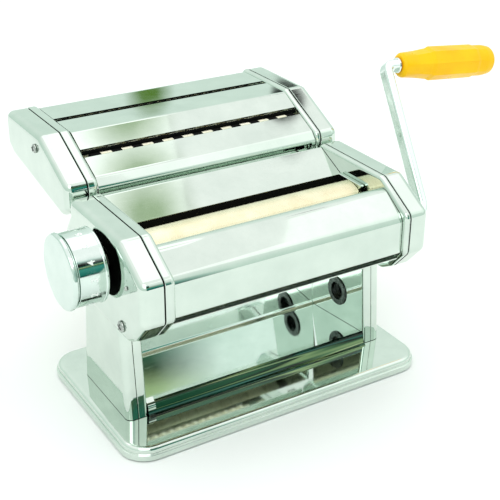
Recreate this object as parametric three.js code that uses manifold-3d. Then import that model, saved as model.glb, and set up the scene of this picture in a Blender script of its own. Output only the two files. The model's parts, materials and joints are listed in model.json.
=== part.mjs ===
// Hand-cranked pasta roller machine with a lift-off double cutter, in millimetres.
// X runs along the rollers (+X is the crank side), +Y is the rear, +Z is up.
// The origin is the centre of the footprint, on the surface that the feet stand on.
import * as THREE from "three";
import { mergeVertices } from "three/addons/utils/BufferGeometryUtils.js";
import Module from "manifold-3d";

const wasm = await Module();
wasm.setup();

// ---------- driving dimensions ----------
const gap = 0.3; // air left between pieces that touch
const wall = 1.2; // pressed steel of the housings and legs
const thin = 1; // folded sheet of the covers and guards

const base = { length: 211.7, depth: 124.9, height: 8.9, rimHeight: 4.6, step: 1.1, corner: 17, bevel: 2.5 };
const foot = { radius: 8, inset: 17, lift: 0.8 };
const leg = {
  inner: 80, // X of the face between the legs
  width: 13.2,
  seam: 6.2, // from the inner face to the line where the two shells meet
  front: -31,
  rear: 31.5,
  frontLean: 4.5, // how far each edge leans in by the top
  rearLean: 6,
  round: 4.5,
};
const clampHole = { y: 0, z: 34.5, radius: 8.6, depth: 5 };
const housing = {
  top: 132,
  bottom: 71.5,
  frontTop: -38.4,
  front: -65.7,
  frontHigh: 115.8,
  frontLow: 90.5,
  rear: 37.5,
  rearTop: 29,
  rearHigh: 122.5,
  rearBend: 111,
  seam: 83, // X where each side plate meets its end cover
  leftWall: 76.5, // inner faces of the side plates
  rightWall: 79.5,
  coverDepth: 14.3,
  round: 4.5,
  corner: 6,
};
const roller = { radius: 14.5, left: -74.5, right: 76, journal: 5, y: -14.3, z: 106.4, nip: 1.8 };
const rollerGear = { teeth: 14 };
const gapTravel = { closing: 1.25, opening: 1 };
const drive = { y: -37, z: 97, radius: 6, socket: 7, teeth: 10, driven: 14 };
const crank = { standOff: 20.7, reach: 102, turn: 37.5, lean: 5.9, bar: 6, barWidth: 9.4, bend: 8, key: 6.4 };
const grip = { start: 10.5, length: 77, radius: 11.7, bore: 3.6 };
const knob = { y: -14, z: 109, radius: 21.6, rim: 22.5, near: 3.2, length: 22, shaft: 5 };
const hopper = { rear: 26.4, high: 131.2, lip: 1.8, low: 119.6 };
const frontLip = { inner: -26.2, innerZ: 119.2, crest: -43, crestZ: 126.6, bend: 8 };
const cutter = {
  top: 156.8,
  rear: 127,
  slopeTop: 70,
  slopeLow: 32,
  slopeLowZ: 138.1,
  front: 30.5,
  frontLow: 121,
  keel: 42,
  keelZ: 114.6,
  tail: 118,
  tailZ: 128,
  rearLow: 134,
};
const wide = { radius: 9.6, groove: 6.6, journal: 4, spacing: 17.8, pitch: 14.1, teeth: 10, sides: 18 };
const narrow = { radius: 8.6, groove: 7, journal: 4, spacing: 16.2, pitch: 7.05, teeth: 10, sides: 12 };
const tongue = { front: housing.rear + 2.2, rear: housing.rear + 13, bottom: 96 };
const screw = { head: 3.4, height: 1.8, shank: 1.7 };

// ---------- solids ----------
// Points and triangles as a solid, with its faces turned outwards.
function closed(vertProperties, triVerts) {
  const build = () => new wasm.Manifold(new wasm.Mesh({ numProp: 3, vertProperties, triVerts }));
  const made = build();
  if (made.volume() > 0) return made;
  for (let i = 0; i < triVerts.length; i += 3) {
    [triVerts[i + 1], triVerts[i + 2]] = [triVerts[i + 2], triVerts[i + 1]];
  }
  return build();
}

function solid(geometry) {
  const g = geometry.clone();
  g.deleteAttribute("normal");
  g.deleteAttribute("uv");
  const merged = mergeVertices(g, 1e-4);
  return closed(new Float32Array(merged.attributes.position.array), new Uint32Array(merged.index.array));
}

// Rings of the same number of points, skinned in order and closed at both ends.
function loft(rings) {
  const n = rings[0].length;
  const triangles = [];
  for (let r = 0; r < rings.length - 1; r += 1) {
    for (let i = 0; i < n; i += 1) {
      const a = r * n + i;
      const b = r * n + ((i + 1) % n);
      triangles.push(a, b, b + n, a, b + n, a + n);
    }
  }
  const last = (rings.length - 1) * n;
  for (let i = 1; i < n - 1; i += 1) {
    triangles.push(0, i + 1, i, last, last + i, last + i + 1);
  }
  return closed(new Float32Array(rings.flat(2)), new Uint32Array(triangles));
}

const join = (first, ...rest) => rest.reduce((sum, piece) => sum.add(piece), first);
const cut = (first, ...rest) => rest.reduce((left, piece) => left.subtract(piece), first);
const move = (x, y, z) => new THREE.Matrix4().makeTranslation(x, y, z);
const place = (geometry, matrix) => geometry.clone().applyMatrix4(matrix);

// Side-view coordinates (Y, Z) and a run along X.
const alongX = new THREE.Matrix4().makeBasis(
  new THREE.Vector3(0, 1, 0),
  new THREE.Vector3(0, 0, 1),
  new THREE.Vector3(1, 0, 0),
);

function box(x0, x1, y0, y1, z0, z1) {
  const g = new THREE.BoxGeometry(x1 - x0, y1 - y0, z1 - z0);
  return solid(place(g, move((x0 + x1) / 2, (y0 + y1) / 2, (z0 + z1) / 2)));
}

// A cylinder along X, with its axis at (y, z).
function rod(x0, x1, y, z, radius, sides = 24) {
  const g = new THREE.CylinderGeometry(radius, radius, x1 - x0, sides);
  g.rotateZ(Math.PI / 2);
  return solid(place(g, move((x0 + x1) / 2, y, z)));
}

// A turned piece along X: profile points are [x, radius], from one end of the axis to the other.
function turned(points, y, z, sides = 32) {
  const g = new THREE.LatheGeometry(
    points.map(([x, r]) => new THREE.Vector2(r, x)),
    sides,
  );
  g.rotateZ(-Math.PI / 2);
  return solid(place(g, move(0, y, z)));
}

// A line of points with its inner corners rounded by arcs.
function rounded(points, radius, steps = 3, closed = false) {
  const out = [];
  const n = points.length;
  points.forEach((p, i) => {
    if (!closed && (i === 0 || i === n - 1)) {
      out.push(p.clone());
      return;
    }
    const back = points[(i - 1 + n) % n].clone().sub(p);
    const on = points[(i + 1) % n].clone().sub(p);
    const angle = Math.acos(THREE.MathUtils.clamp(back.clone().normalize().dot(on.clone().normalize()), -1, 1));
    const reach = Math.min(radius / Math.tan(angle / 2), back.length() * 0.48, on.length() * 0.48);
    const start = p.clone().add(back.setLength(reach));
    const end = p.clone().add(on.setLength(reach));
    const curve = new THREE.QuadraticBezierCurve(start, p, end);
    curve.getPoints(steps).forEach((q) => out.push(q));
  });
  return out;
}

const vec = (points) => points.map(([a, b]) => new THREE.Vector2(a, b));

// A side-view outline run along X from x0 to x1.
function extruded(points, x0, x1, options = {}) {
  const shape = new THREE.Shape(points);
  const g = new THREE.ExtrudeGeometry(shape, { depth: x1 - x0, bevelEnabled: false, ...options });
  return solid(place(place(g, alongX), move(x0, 0, 0)));
}

// The outline that lies a distance inside a convex outline.
function inset(points, distance) {
  const n = points.length;
  const area = points.reduce((sum, p, i) => sum + p.cross(points[(i + 1) % n]), 0);
  const side = Math.sign(area);
  const line = (i) => {
    const a = points[i];
    const d = points[(i + 1) % n].clone().sub(a).normalize();
    const shift = new THREE.Vector2(-d.y, d.x).multiplyScalar(side * distance);
    return { a: a.clone().add(shift), d };
  };
  return points.map((p, i) => {
    const one = line((i - 1 + n) % n);
    const two = line(i);
    const t = two.a.clone().sub(one.a).cross(two.d) / one.d.cross(two.d);
    return one.a.clone().addScaledVector(one.d, t);
  });
}

// A convex outline run along X, with rounded corners and with both ends rounded over.
function pillow(outline, x0, x1, round, corner, steps = 3) {
  const edge = [];
  for (let i = 0; i <= steps; i += 1) {
    const a = (Math.PI / 2) * (i / steps);
    edge.push([round * (1 - Math.cos(a)), round * (1 - Math.sin(a))]);
  }
  const start = edge.map(([along, inward]) => [x0 + along, inward]);
  const end = edge.map(([along, inward]) => [x1 - along, inward]).reverse();
  const ring = ([x, inward]) =>
    rounded(inset(outline, inward), Math.max(corner - inward, 0.4), 3, true).map((p) => [x, p.x, p.y]);
  return loft([...start, ...end].map(ring));
}

// A pressed pan: a closed face at faceX with rounded edges, open at openX.
function pan(outline, faceX, openX, thickness, round, corner) {
  const side = Math.sign(openX - faceX);
  const past = openX + side * round * 2;
  const span = (a, b) => [Math.min(a, b), Math.max(a, b)];
  const innerRound = Math.max(round - thickness, 0.4);
  const hollow = inset(outline, thickness);
  const shell = cut(
    pillow(outline, ...span(faceX, past), round, corner),
    pillow(hollow, ...span(faceX + side * thickness, past + side * round), innerRound, corner - thickness, 1),
  );
  const far = 400;
  return cut(shell, box(...span(openX, openX + side * 60), -far, far, -far, far));
}

// Sheet metal folded along X: the path is one face, and the thickness grows to its left.
function folded(path, thickness, x0, x1, radius) {
  const line = rounded(vec(path), radius, 3);
  const other = line.map((p, i) => {
    const a = line[Math.max(i - 1, 0)];
    const b = line[Math.min(i + 1, line.length - 1)];
    const before = i ? p.clone().sub(a).normalize() : b.clone().sub(p).normalize();
    const after = i < line.length - 1 ? b.clone().sub(p).normalize() : before;
    const mid = before.clone().add(after).normalize();
    const stretch = thickness / Math.max(mid.dot(after), 0.5);
    return p.clone().add(new THREE.Vector2(-mid.y, mid.x).multiplyScalar(stretch));
  });
  return extruded([...line, ...other.reverse()], x0, x1);
}

// A spur gear along X with straight-sided teeth. The first tooth points along the angle phase,
// measured from +Y towards +Z.
function gear(x0, x1, y, z, pitchRadius, teeth, phase, bore) {
  const depth = (2 * pitchRadius) / teeth;
  const tip = pitchRadius + depth * 0.86;
  const root = pitchRadius - depth * 1.08;
  const step = (2 * Math.PI) / teeth;
  const points = [];
  for (let i = 0; i < teeth; i += 1) {
    const mid = phase + i * step;
    const corners = [
      [root, -0.3],
      [tip, -0.13],
      [tip, 0.13],
      [root, 0.3],
    ];
    corners.forEach(([r, share]) => {
      const angle = mid + share * step;
      points.push(new THREE.Vector2(y + r * Math.cos(angle), z + r * Math.sin(angle)));
    });
  }
  return cut(extruded(points, x0, x1), rod(x0 - 1, x1 + 1, y, z, bore));
}

const group = new THREE.Group();

function steel(color, roughness) {
  return new THREE.MeshStandardMaterial({ color, roughness, metalness: 1 });
}
const finish = {
  chrome: () => steel(0xe8edea, 0.06),
  satin: () => steel(0xe9e3c8, 0.3),
  zinc: () => steel(0xb8bcb8, 0.35),
  gear: () => steel(0x8f928f, 0.4),
  yellow: () => new THREE.MeshStandardMaterial({ color: 0xf2c203, roughness: 0.35 }),
  rubber: () => new THREE.MeshStandardMaterial({ color: 0x2b2c2b, roughness: 0.8 }),
  nylon: () => new THREE.MeshStandardMaterial({ color: 0xe9e7dc, roughness: 0.5 }),
};

function add(name, body, material) {
  const mesh = body.getMesh();
  const g = new THREE.BufferGeometry();
  g.setAttribute("position", new THREE.BufferAttribute(new Float32Array(mesh.vertProperties), 3));
  g.setIndex(new THREE.BufferAttribute(new Uint32Array(mesh.triVerts), 1));
  g.computeVertexNormals();
  const made = new THREE.Mesh(g, finish[material]());
  made.name = name;
  group.add(made);
}

const sides = [
  { name: "left", sign: -1, inside: housing.leftWall },
  { name: "right", sign: 1, inside: housing.rightWall },
];

// ---------- base and feet ----------
function plate(inward, corner) {
  const x = base.length / 2 - inward;
  const y = base.depth / 2 - inward;
  return rounded(vec([[-x, -y], [x, -y], [x, y], [-x, y]]), corner, 5, true);
}

function slab(inward, corner, z0, z1, bevel = 0) {
  const g = new THREE.ExtrudeGeometry(new THREE.Shape(plate(inward, corner)), {
    depth: z1 - z0 - bevel,
    bevelEnabled: bevel > 0,
    bevelSize: bevel,
    bevelThickness: bevel,
    bevelOffset: -bevel,
    bevelSegments: 3,
  });
  const all = solid(place(g, move(0, 0, z0)));
  const big = base.length;
  return bevel > 0 ? cut(all, box(-big, big, -big, big, z0 - 2 * bevel, z0)) : all;
}

function basePlate() {
  const top = base.height;
  const rim = slab(0, base.corner, foot.lift, base.rimHeight);
  const deck = slab(base.step, base.corner - base.step, foot.lift, top, base.bevel);
  const hollow = slab(base.step + wall, base.corner - base.step, foot.lift - 1, top - wall);
  const holes = [];
  for (const { sign } of sides) {
    for (const y of [-16, 16]) {
      const bolt = new THREE.CylinderGeometry(2, 2, 6, 12).rotateX(Math.PI / 2);
      holes.push(solid(place(bolt, move(sign * (leg.inner + leg.width / 2), y, top))));
    }
  }
  return cut(join(rim, deck), hollow, ...holes);
}

add("base_plate", basePlate(), "chrome");
for (const [end, s] of [["front", -1], ["rear", 1]]) {
  for (const { name, sign } of sides) {
    const x = sign * (base.length / 2 - foot.inset);
    const y = s * (base.depth / 2 - foot.inset);
    const top = base.height - wall - gap;
    const pad = new THREE.CylinderGeometry(foot.radius, foot.radius - 0.8, top, 24).rotateX(Math.PI / 2);
    add(`foot_${end}_${name}`, solid(place(pad, move(x, y, top / 2))), "rubber");
  }
}

// ---------- legs ----------
const legFloor = base.height + gap;
const legTop = housing.bottom - gap;

function legOutline(spread) {
  const rise = legTop - base.height;
  const below = -spread;
  const above = rise + spread;
  const at = (edge, lean, h) => edge - (lean * h) / rise;
  return vec([
    [at(leg.front, -leg.frontLean, below), base.height + below],
    [at(leg.rear, leg.rearLean, below), base.height + below],
    [at(leg.rear, leg.rearLean, above), base.height + above],
    [at(leg.front, -leg.frontLean, above), base.height + above],
  ]);
}

function trimmed(body) {
  const far = 300;
  return cut(body, box(-far, far, -far, far, -far, legFloor), box(-far, far, -far, far, legTop, far));
}

for (const { name, sign } of sides) {
  const outerX = sign * (leg.inner + leg.width);
  const seamX = sign * (leg.inner + leg.seam);
  const outer = pan(legOutline(12), outerX, seamX + sign * gap * 0.5, wall, leg.round, 6);
  add(`${name}_leg_outer`, trimmed(outer), "chrome");
  let inner = pan(legOutline(12), sign * leg.inner, seamX - sign * gap * 0.5, wall, 2, 6);
  if (sign > 0) {
    inner = cut(inner, rod(leg.inner - 2, leg.inner + 4, clampHole.y, clampHole.z, clampHole.radius + gap, 32));
  }
  add(`${name}_leg_inner`, trimmed(inner), "chrome");
}

// A ribbed bush for the table clamp, pressed into the crank-side leg.
function clampBush() {
  const { radius, depth, y, z } = clampHole;
  const x0 = leg.inner - 0.9;
  const rib = depth / 5;
  const flange = [[x0, radius - 1.4], [x0, radius + 1.6], [leg.inner - gap, radius + 1.6]];
  const outside = [[leg.inner - gap, radius], [leg.inner + depth, radius]];
  const inside = [];
  for (let i = 0; i < 5; i += 1) {
    const x = leg.inner + depth - i * rib;
    inside.push([x, radius - 1.4], [x - rib / 2, radius - 2.4]);
  }
  return turned([...flange, ...outside, ...inside, [x0, radius - 1.4]], y, z, 20);
}
add("clamp_bush", clampBush(), "zinc");

// ---------- tray and back panel between the legs ----------
const tray = { front: -29.2, frontZ: 16.6, rear: 29.2, rearZ: 10.9, top: housing.bottom - gap };
const trayPath = [
  [tray.rear, tray.top],
  [tray.rear, tray.rearZ],
  [tray.front, tray.frontZ],
  [tray.front, legFloor + 0.2],
];
add("tray", folded(trayPath, thin, -leg.inner + gap, leg.inner - gap, 3), "chrome");

// ---------- roller housing ----------
const housingOutline = vec([
  [housing.rearTop, housing.top],
  [housing.frontTop, housing.top],
  [housing.front, housing.frontHigh],
  [housing.front, housing.frontLow],
  [housing.front + 12.5, housing.bottom + 5],
  [housing.front + 21.5, housing.bottom],
  [housing.rear - 9, housing.bottom],
  [housing.rear, housing.bottom + 10],
  [housing.rear, housing.rearBend],
  [housing.rearTop, housing.rearHigh],
]);

const rearRoller = { y: roller.y + 2 * roller.radius + roller.nip, z: roller.z };
const block = { halfY: 8, halfZ: 8 };

function sidePlate({ sign, inside }) {
  const seamX = sign * (housing.seam - gap / 2);
  const body = pan(housingOutline, sign * inside, seamX, wall, 2.4, housing.corner);
  const [x0, x1] = sign < 0 ? [-90, -70] : [70, 90];
  const slotFront = rearRoller.y - block.halfY - gapTravel.closing - gap;
  const slotRear = rearRoller.y + block.halfY + gapTravel.opening + gap;
  const slotHalf = block.halfZ + gap;
  const pieces = [
    rod(x0, x1, roller.y, roller.z, roller.journal + 2 + gap),
    box(x0, x1, slotFront, slotRear, roller.z - slotHalf, roller.z + slotHalf),
  ];
  if (sign > 0) pieces.push(rod(x0, x1, drive.y, drive.z, drive.radius + gap));
  return cut(body, ...pieces);
}

function endCover({ sign }) {
  const seamX = sign * (housing.seam + gap / 2);
  const faceX = sign * (housing.seam + housing.coverDepth);
  let body = pan(housingOutline, faceX, seamX, wall, housing.round, housing.corner);
  const [x0, x1] = sign < 0 ? [-110, -90] : [90, 110];
  body = sign < 0
    ? cut(body, rod(x0, x1, knob.y, knob.z, knob.shaft + 2.2 + gap))
    : cut(body, rod(x0, x1, drive.y, drive.z, drive.radius + gap));
  return cut(body, ...coverScrews(sign).map(([y, z]) => rod(x0, x1, y, z, screw.shank + gap, 12)));
}

function coverScrews(sign) {
  return sign < 0 ? [[-39, 80], [24, 90]] : [[18, 84]];
}

for (const side of sides) {
  add(`${side.name}_side_plate`, sidePlate(side), "chrome");
  add(`${side.name}_end_cover`, endCover(side), "chrome");
  coverScrews(side.sign).forEach(([y, z], i) => {
    const face = housing.seam + housing.coverDepth;
    const points = [
      [face - 9, 0],
      [face - 9, screw.shank],
      [face + gap, screw.shank],
      [face + gap, screw.head],
      [face + gap + screw.height * 0.6, screw.head * 0.86],
      [face + gap + screw.height, screw.head * 0.35],
      [face + gap + screw.height, 0],
    ];
    const body = turned(points.map(([x, r]) => [side.sign * x, r]), y, z, 16);
    add(`${side.name}_cover_screw_${i + 1}`, body, "zinc");
  });
}

const between = [-housing.leftWall + gap, housing.rightWall - gap];

const frontCoverPath = [
  [frontLip.inner, frontLip.innerZ],
  [frontLip.crest, frontLip.crestZ],
  [housing.front + 3.4, housing.frontHigh - 2.4],
  [housing.front + 3.2, housing.frontLow],
  [housing.front + 7, housing.frontLow - 3.2],
];
add("front_cover", folded(frontCoverPath, thin, ...between, 5), "chrome");

const hopperPath = [
  [hopper.rear, housing.rearHigh + 1],
  [hopper.rear, hopper.high],
  [hopper.lip, hopper.low],
];
add("hopper_plate", folded(hopperPath, thin, ...between, 2), "chrome");

const backPath = [
  [housing.rear - 0.2, housing.bottom + 12],
  [housing.rear - 0.2, housing.rearBend],
  [hopper.rear + 2, housing.rearHigh],
];
add("back_cover", folded(backPath, thin, ...between, 2), "chrome");

// Tie rods, scrapers and dough guides between the side plates.
const tieRods = { tie_rod_front: [-50, 98], tie_rod_rear: [housing.rear - 4.7, 95] };
for (const [name, [y, z]] of Object.entries(tieRods)) {
  add(name, rod(...between, y, z, 2.5, 16), "zinc");
}

// A sheet that scrapes a roller clean, just clear of it on the side away from the nip, and closes
// the housing from below as far as its wall.
function scraper(axisY, outward, clear, rootEdge) {
  const reach = roller.radius + clear;
  const tip = [axisY + outward * reach * 0.5, roller.z - reach * 0.866];
  const path = outward < 0 ? [tip, rootEdge] : [rootEdge, tip];
  return folded(path, 0.8, ...between, 1);
}
const scraperRoots = { front: [housing.front + 6, housing.frontLow - 4.9], rear: [housing.rear - 2, 90] };
add("front_scraper", scraper(roller.y, -1, 0.6, scraperRoots.front), "satin");
add("rear_scraper", scraper(rearRoller.y, 1, 0.6 + gapTravel.opening, scraperRoots.rear), "satin");

for (const { name, sign, inside } of sides) {
  const end = sign < 0 ? roller.left : roller.right;
  const xs = [end + sign * gap, sign * inside - sign * gap].sort((a, b) => a - b);
  const outline = vec([
    [hopper.lip - 1.5, 121],
    [frontLip.inner + 2, 121],
    [roller.y - 6, 114],
    [roller.y + 20, 114],
  ]);
  add(`${name}_dough_guide`, extruded(outline, ...xs), "chrome");
}

// ---------- rollers ----------
function smoothRoller(y, z, leftEnd, rightEnd) {
  const j = roller.journal;
  const r = roller.radius;
  return turned(
    [
      [leftEnd, 0],
      [leftEnd, j],
      [roller.left, j],
      [roller.left, r - 0.6],
      [roller.left + 0.6, r],
      [roller.right - 0.6, r],
      [roller.right, r - 0.6],
      [roller.right, j],
      [rightEnd, j],
      [rightEnd, 0],
    ],
    y,
    z,
    48,
  );
}

const leftJournalEnd = -housing.seam - 1.6;
const driveGearX = [85.4, 91.4];
add("front_roller", smoothRoller(roller.y, roller.z, leftJournalEnd, driveGearX[1] + 1), "satin");
add("rear_roller", smoothRoller(rearRoller.y, rearRoller.z, leftJournalEnd, housing.seam + 0.5), "satin");

// The two left-hand gears are sized for the smallest gap; their teeth are long enough for the widest.
const meshRadius = roller.radius + (roller.nip - gapTravel.closing) / 2;
const leftGearX = [-housing.seam - 1.2, -housing.leftWall - wall - 1.2 - gap];
const halfTooth = Math.PI / rollerGear.teeth;
const bore = roller.journal + gap;
const rollerPinion = (y, phase) => gear(...leftGearX, y, roller.z, meshRadius, rollerGear.teeth, phase, bore);
add("front_roller_gear", rollerPinion(roller.y, 0), "gear");
add("rear_roller_gear", rollerPinion(rearRoller.y, halfTooth), "gear");

// The crank shaft's gear, which turns the front roller.
const driveSpan = Math.hypot(roller.y - drive.y, roller.z - drive.z);
const driveAngle = Math.atan2(roller.z - drive.z, roller.y - drive.y);
const teethSum = drive.teeth + drive.driven;
const crankGearRadius = (driveSpan * drive.teeth) / teethSum;
const drivenRadius = (driveSpan * drive.driven) / teethSum;
const crankGearAt = [...driveGearX, drive.y, drive.z];
const crankGear = gear(...crankGearAt, crankGearRadius, drive.teeth, driveAngle, drive.radius + gap);
add("crank_gear", crankGear, "gear");
const back = driveAngle + Math.PI + Math.PI / drive.driven;
const drivenGear = gear(...driveGearX, roller.y, roller.z, drivenRadius, drive.driven, back, bore);
add("front_roller_drive_gear", drivenGear, "gear");

const coverFace = housing.seam + housing.coverDepth;
const socketDepth = 16;
const square = drive.socket / 2;
const socket = (x0, x1, y, z) => box(x0, x1, y - square, y + square, z - square, z + square);
const driveShaft = cut(
  rod(housing.rightWall, coverFace - 0.5, drive.y, drive.z, drive.radius),
  socket(coverFace - socketDepth, coverFace + 1, drive.y, drive.z),
);
add("drive_shaft", driveShaft, "zinc");

// Bushes of the fixed front roller.
for (const { name, sign, inside } of sides) {
  const x = [sign * (inside + gap), sign * (housing.seam - 1.2 - (sign < 0 ? 3 : 0))].sort((a, b) => a - b);
  const ring = cut(
    rod(...x, roller.y, roller.z, roller.journal + 2),
    rod(-100, 100, roller.y, roller.z, roller.journal + gap),
  );
  add(`${name}_roller_bush`, ring, "nylon");
}

// Bearing blocks that carry the rear roller and slide in the side plates.
for (const { name, sign, inside } of sides) {
  const x = [sign * (inside + gap), sign * (inside + 2.4)].sort((a, b) => a - b);
  const y = [rearRoller.y - block.halfY, rearRoller.y + block.halfY];
  const body = box(...x, ...y, roller.z - block.halfZ, roller.z + block.halfZ);
  add(`${name}_bearing_block`, cut(body, rod(-100, 100, rearRoller.y, roller.z, bore)), "zinc");
}

// ---------- thickness knob ----------
// The yoke slides with the rear roller; a cam on the knob shaft turns inside its slot.
const cam = { radius: 7, offset: 1.25, half: 9.6 };
const yokeX = [-coverFace + 4.2, -coverFace + 6.6];
function yoke() {
  const high = 13;
  const slot = cam.radius + 0.5 + gap;
  const plateBody = box(...yokeX, knob.y - 14, rearRoller.y + 9, knob.z - high, knob.z + high);
  const window = box(yokeX[0] - 1, yokeX[1] + 1, knob.y - slot, knob.y + slot, knob.z - cam.half, knob.z + cam.half);
  const arm = cut(
    rod(yokeX[1], leftJournalEnd - gap, rearRoller.y, rearRoller.z, 6),
    rod(yokeX[0] - 1, leftJournalEnd, rearRoller.y, rearRoller.z, 1.6, 12),
  );
  return join(cut(plateBody, window), arm);
}
add("gap_yoke", yoke(), "zinc");

const knobNear = -coverFace - knob.near;
const knobFar = knobNear - knob.length;
function knobShaft() {
  const shaft = rod(knobFar + 6, yokeX[1], knob.y, knob.z, knob.shaft, 20);
  return join(shaft, rod(yokeX[0] + gap, yokeX[1] - gap, knob.y, knob.z + cam.offset, cam.radius, 24));
}
add("knob_shaft", knobShaft(), "zinc");

const sleeveRing = cut(
  turned(
    [
      [-coverFace - 1.6, 0],
      [-coverFace - 1.6, knob.shaft + 3.4],
      [-coverFace - gap, knob.shaft + 3.8],
      [-coverFace - gap, knob.shaft + 2.2],
      [-coverFace + 2.6, knob.shaft + 2.2],
      [-coverFace + 2.6, 0],
    ],
    knob.y,
    knob.z,
    24,
  ),
  rod(-120, -80, knob.y, knob.z, knob.shaft + gap),
);
add("knob_bush", sleeveRing, "nylon");

function gaugeKnob() {
  const skirt = 1.4;
  const body = turned(
    [
      [knobNear, 0],
      [knobNear, knob.radius - 1],
      [knobNear - skirt, knob.radius + 0.3],
      [knobFar + 4.2, knob.radius],
      [knobFar + 3.2, knob.radius - 1.2],
      [knobFar + 3.2, 0],
    ],
    knob.y,
    knob.z,
    48,
  );
  const well = rod(knobFar + 9, knobNear + 1, knob.y, knob.z, knob.radius - 5, 32);
  return cut(body, well, rod(knobFar, knobNear + 1, knob.y, knob.z, knob.shaft + gap, 20));
}
add("gauge_knob", gaugeKnob(), "chrome");

const cap = turned(
  [
    [knobFar + 3.2 - gap, 0],
    [knobFar + 3.2 - gap, knob.rim - 0.6],
    [knobFar + 2.2, knob.rim],
    [knobFar + 0.9, knob.rim - 0.7],
    [knobFar, knob.rim - 3.4],
    [knobFar + 0.6, 0],
  ],
  knob.y,
  knob.z,
  48,
);
add("knob_cap", cap, "chrome");

// The spring that holds the knob in, as a square-cut coil inside its well.
function knobSpring() {
  const turns = 4.5;
  const start = knobNear + 0.5;
  const length = knob.length - 9.6;
  const radius = knob.shaft + 3.4;
  const points = [];
  const steps = Math.round(turns * 12);
  for (let i = 0; i <= steps; i += 1) {
    const a = (2 * Math.PI * turns * i) / steps;
    const x = start - (length * i) / steps;
    points.push(new THREE.Vector3(x, knob.y + radius * Math.cos(a), knob.z + radius * Math.sin(a)));
  }
  const wire = new THREE.Shape().absarc(0, 0, 0.8, 0, 2 * Math.PI);
  const path = new THREE.CatmullRomCurve3(points);
  return solid(new THREE.ExtrudeGeometry(wire, { steps, extrudePath: path, bevelEnabled: false, curveSegments: 3 }));
}
add("knob_spring", knobSpring(), "zinc");

// A raised dot on the cover that the dial is read against.
const indexX = -coverFace - gap;
const index = turned([[indexX, 0], [indexX, 1.3], [indexX - 0.7, 1], [indexX - 1, 0]], -47.7, 108, 14);
add("index_mark", index, "zinc");

// ---------- crank ----------
// The crank lies in a plane through the drive axis. In that plane, u runs along X from the socket
// and v runs away from the axis.
const crankFrame = new THREE.Matrix4()
  .makeTranslation(coverFace, drive.y, drive.z)
  .multiply(new THREE.Matrix4().makeRotationX(-THREE.MathUtils.degToRad(crank.turn)));
const planeToSpace = new THREE.Matrix4().makeBasis(
  new THREE.Vector3(1, 0, 0),
  new THREE.Vector3(0, 0, 1),
  new THREE.Vector3(0, -1, 0),
);
const lean = THREE.MathUtils.degToRad(crank.lean);
const armEnd = new THREE.Vector2(crank.standOff + crank.reach * Math.sin(lean), crank.reach * Math.cos(lean));
const gripDirection = new THREE.Vector2(Math.cos(lean), -Math.sin(lean));
const gripAxis = new THREE.Matrix4()
  .copy(crankFrame)
  .multiply(new THREE.Matrix4().makeTranslation(armEnd.x, 0, armEnd.y))
  .multiply(new THREE.Matrix4().makeRotationY(lean));

// A turned piece on the grip's axis; profile points are [distance along the axis, radius].
function onGrip(points, sidesCount) {
  const g = new THREE.LatheGeometry(
    points.map(([x, r]) => new THREE.Vector2(r, x)),
    sidesCount,
  );
  g.rotateZ(-Math.PI / 2);
  return solid(place(g, gripAxis));
}

function crankArm() {
  const half = crank.bar / 2;
  const neck = grip.start - 1;
  const centre = rounded(
    [
      new THREE.Vector2(2, 0),
      new THREE.Vector2(crank.standOff, 0),
      armEnd,
      armEnd.clone().addScaledVector(gripDirection, neck),
    ],
    crank.bend,
    5,
  );
  const edge = (s) =>
    centre.map((p, i) => {
      const a = centre[Math.max(i - 1, 0)];
      const b = centre[Math.min(i + 1, centre.length - 1)];
      const d = b.clone().sub(a).normalize();
      return p.clone().add(new THREE.Vector2(-d.y, d.x).multiplyScalar(s * half));
    });
  const outline = new THREE.Shape([...edge(-1), ...edge(1).reverse()]);
  const g = new THREE.ExtrudeGeometry(outline, {
    depth: crank.barWidth - 2,
    bevelEnabled: true,
    bevelSize: 1,
    bevelThickness: 1,
    bevelOffset: -1,
    bevelSegments: 1,
  });
  const bar = solid(place(place(place(g, move(0, 0, 1 - crank.barWidth / 2)), planeToSpace), crankFrame));
  const key = new THREE.BoxGeometry(socketDepth + 2, crank.key, crank.key);
  const keyBody = solid(place(key, move(coverFace + (socketDepth + 2) / 2 - socketDepth + 0.6, drive.y, drive.z)));
  const tip = grip.start + grip.length - 5;
  const spindle = onGrip([[neck - 1.5, 0], [neck - 1.5, 2.9], [tip, 2.9], [tip, 0]], 16);
  const ring = [[1.2, 0], [1.2, 6.6], [6, 6.2], [6, 0]];
  const collar = turned(ring.map(([x, r]) => [coverFace + x, r]), drive.y, drive.z, 20);
  return join(bar, keyBody, spindle, collar);
}
add("crank_arm", crankArm(), "chrome");

function gripBody() {
  const s = grip.start;
  const r = grip.radius;
  const e = s + grip.length;
  const outside = [
    [s + 0.6, 0],
    [s + 0.6, r * 0.5],
    [s + 3, r * 0.6],
    [s + 24, r * 0.88],
    [s + 26, r],
    [s + 62, r * 0.97],
    [s + 64, r * 0.9],
    [e - 5, r * 0.84],
    [e - 0.8, r * 0.66],
    [e, r * 0.4],
    [e, 0],
  ];
  const hole = onGrip([[s - 1, 0], [s - 1, grip.bore], [e - 3, grip.bore], [e - 3, 0]], 20);
  return cut(onGrip(outside, 16), hole);
}
add("crank_grip", gripBody(), "yellow");

// ---------- cutter ----------
const slope = Math.atan2(cutter.top - cutter.slopeLowZ, cutter.slopeTop - cutter.slopeLow);
const cutterOutline = vec([
  [cutter.rear, cutter.top],
  [cutter.slopeTop, cutter.top],
  [cutter.slopeLow, cutter.slopeLowZ],
  [cutter.front, cutter.slopeLowZ - 3.4],
  [cutter.front, cutter.frontLow],
  [cutter.keel, cutter.keelZ],
  [cutter.tail, cutter.tailZ],
  [cutter.rear, cutter.rearLow],
]);

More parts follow.
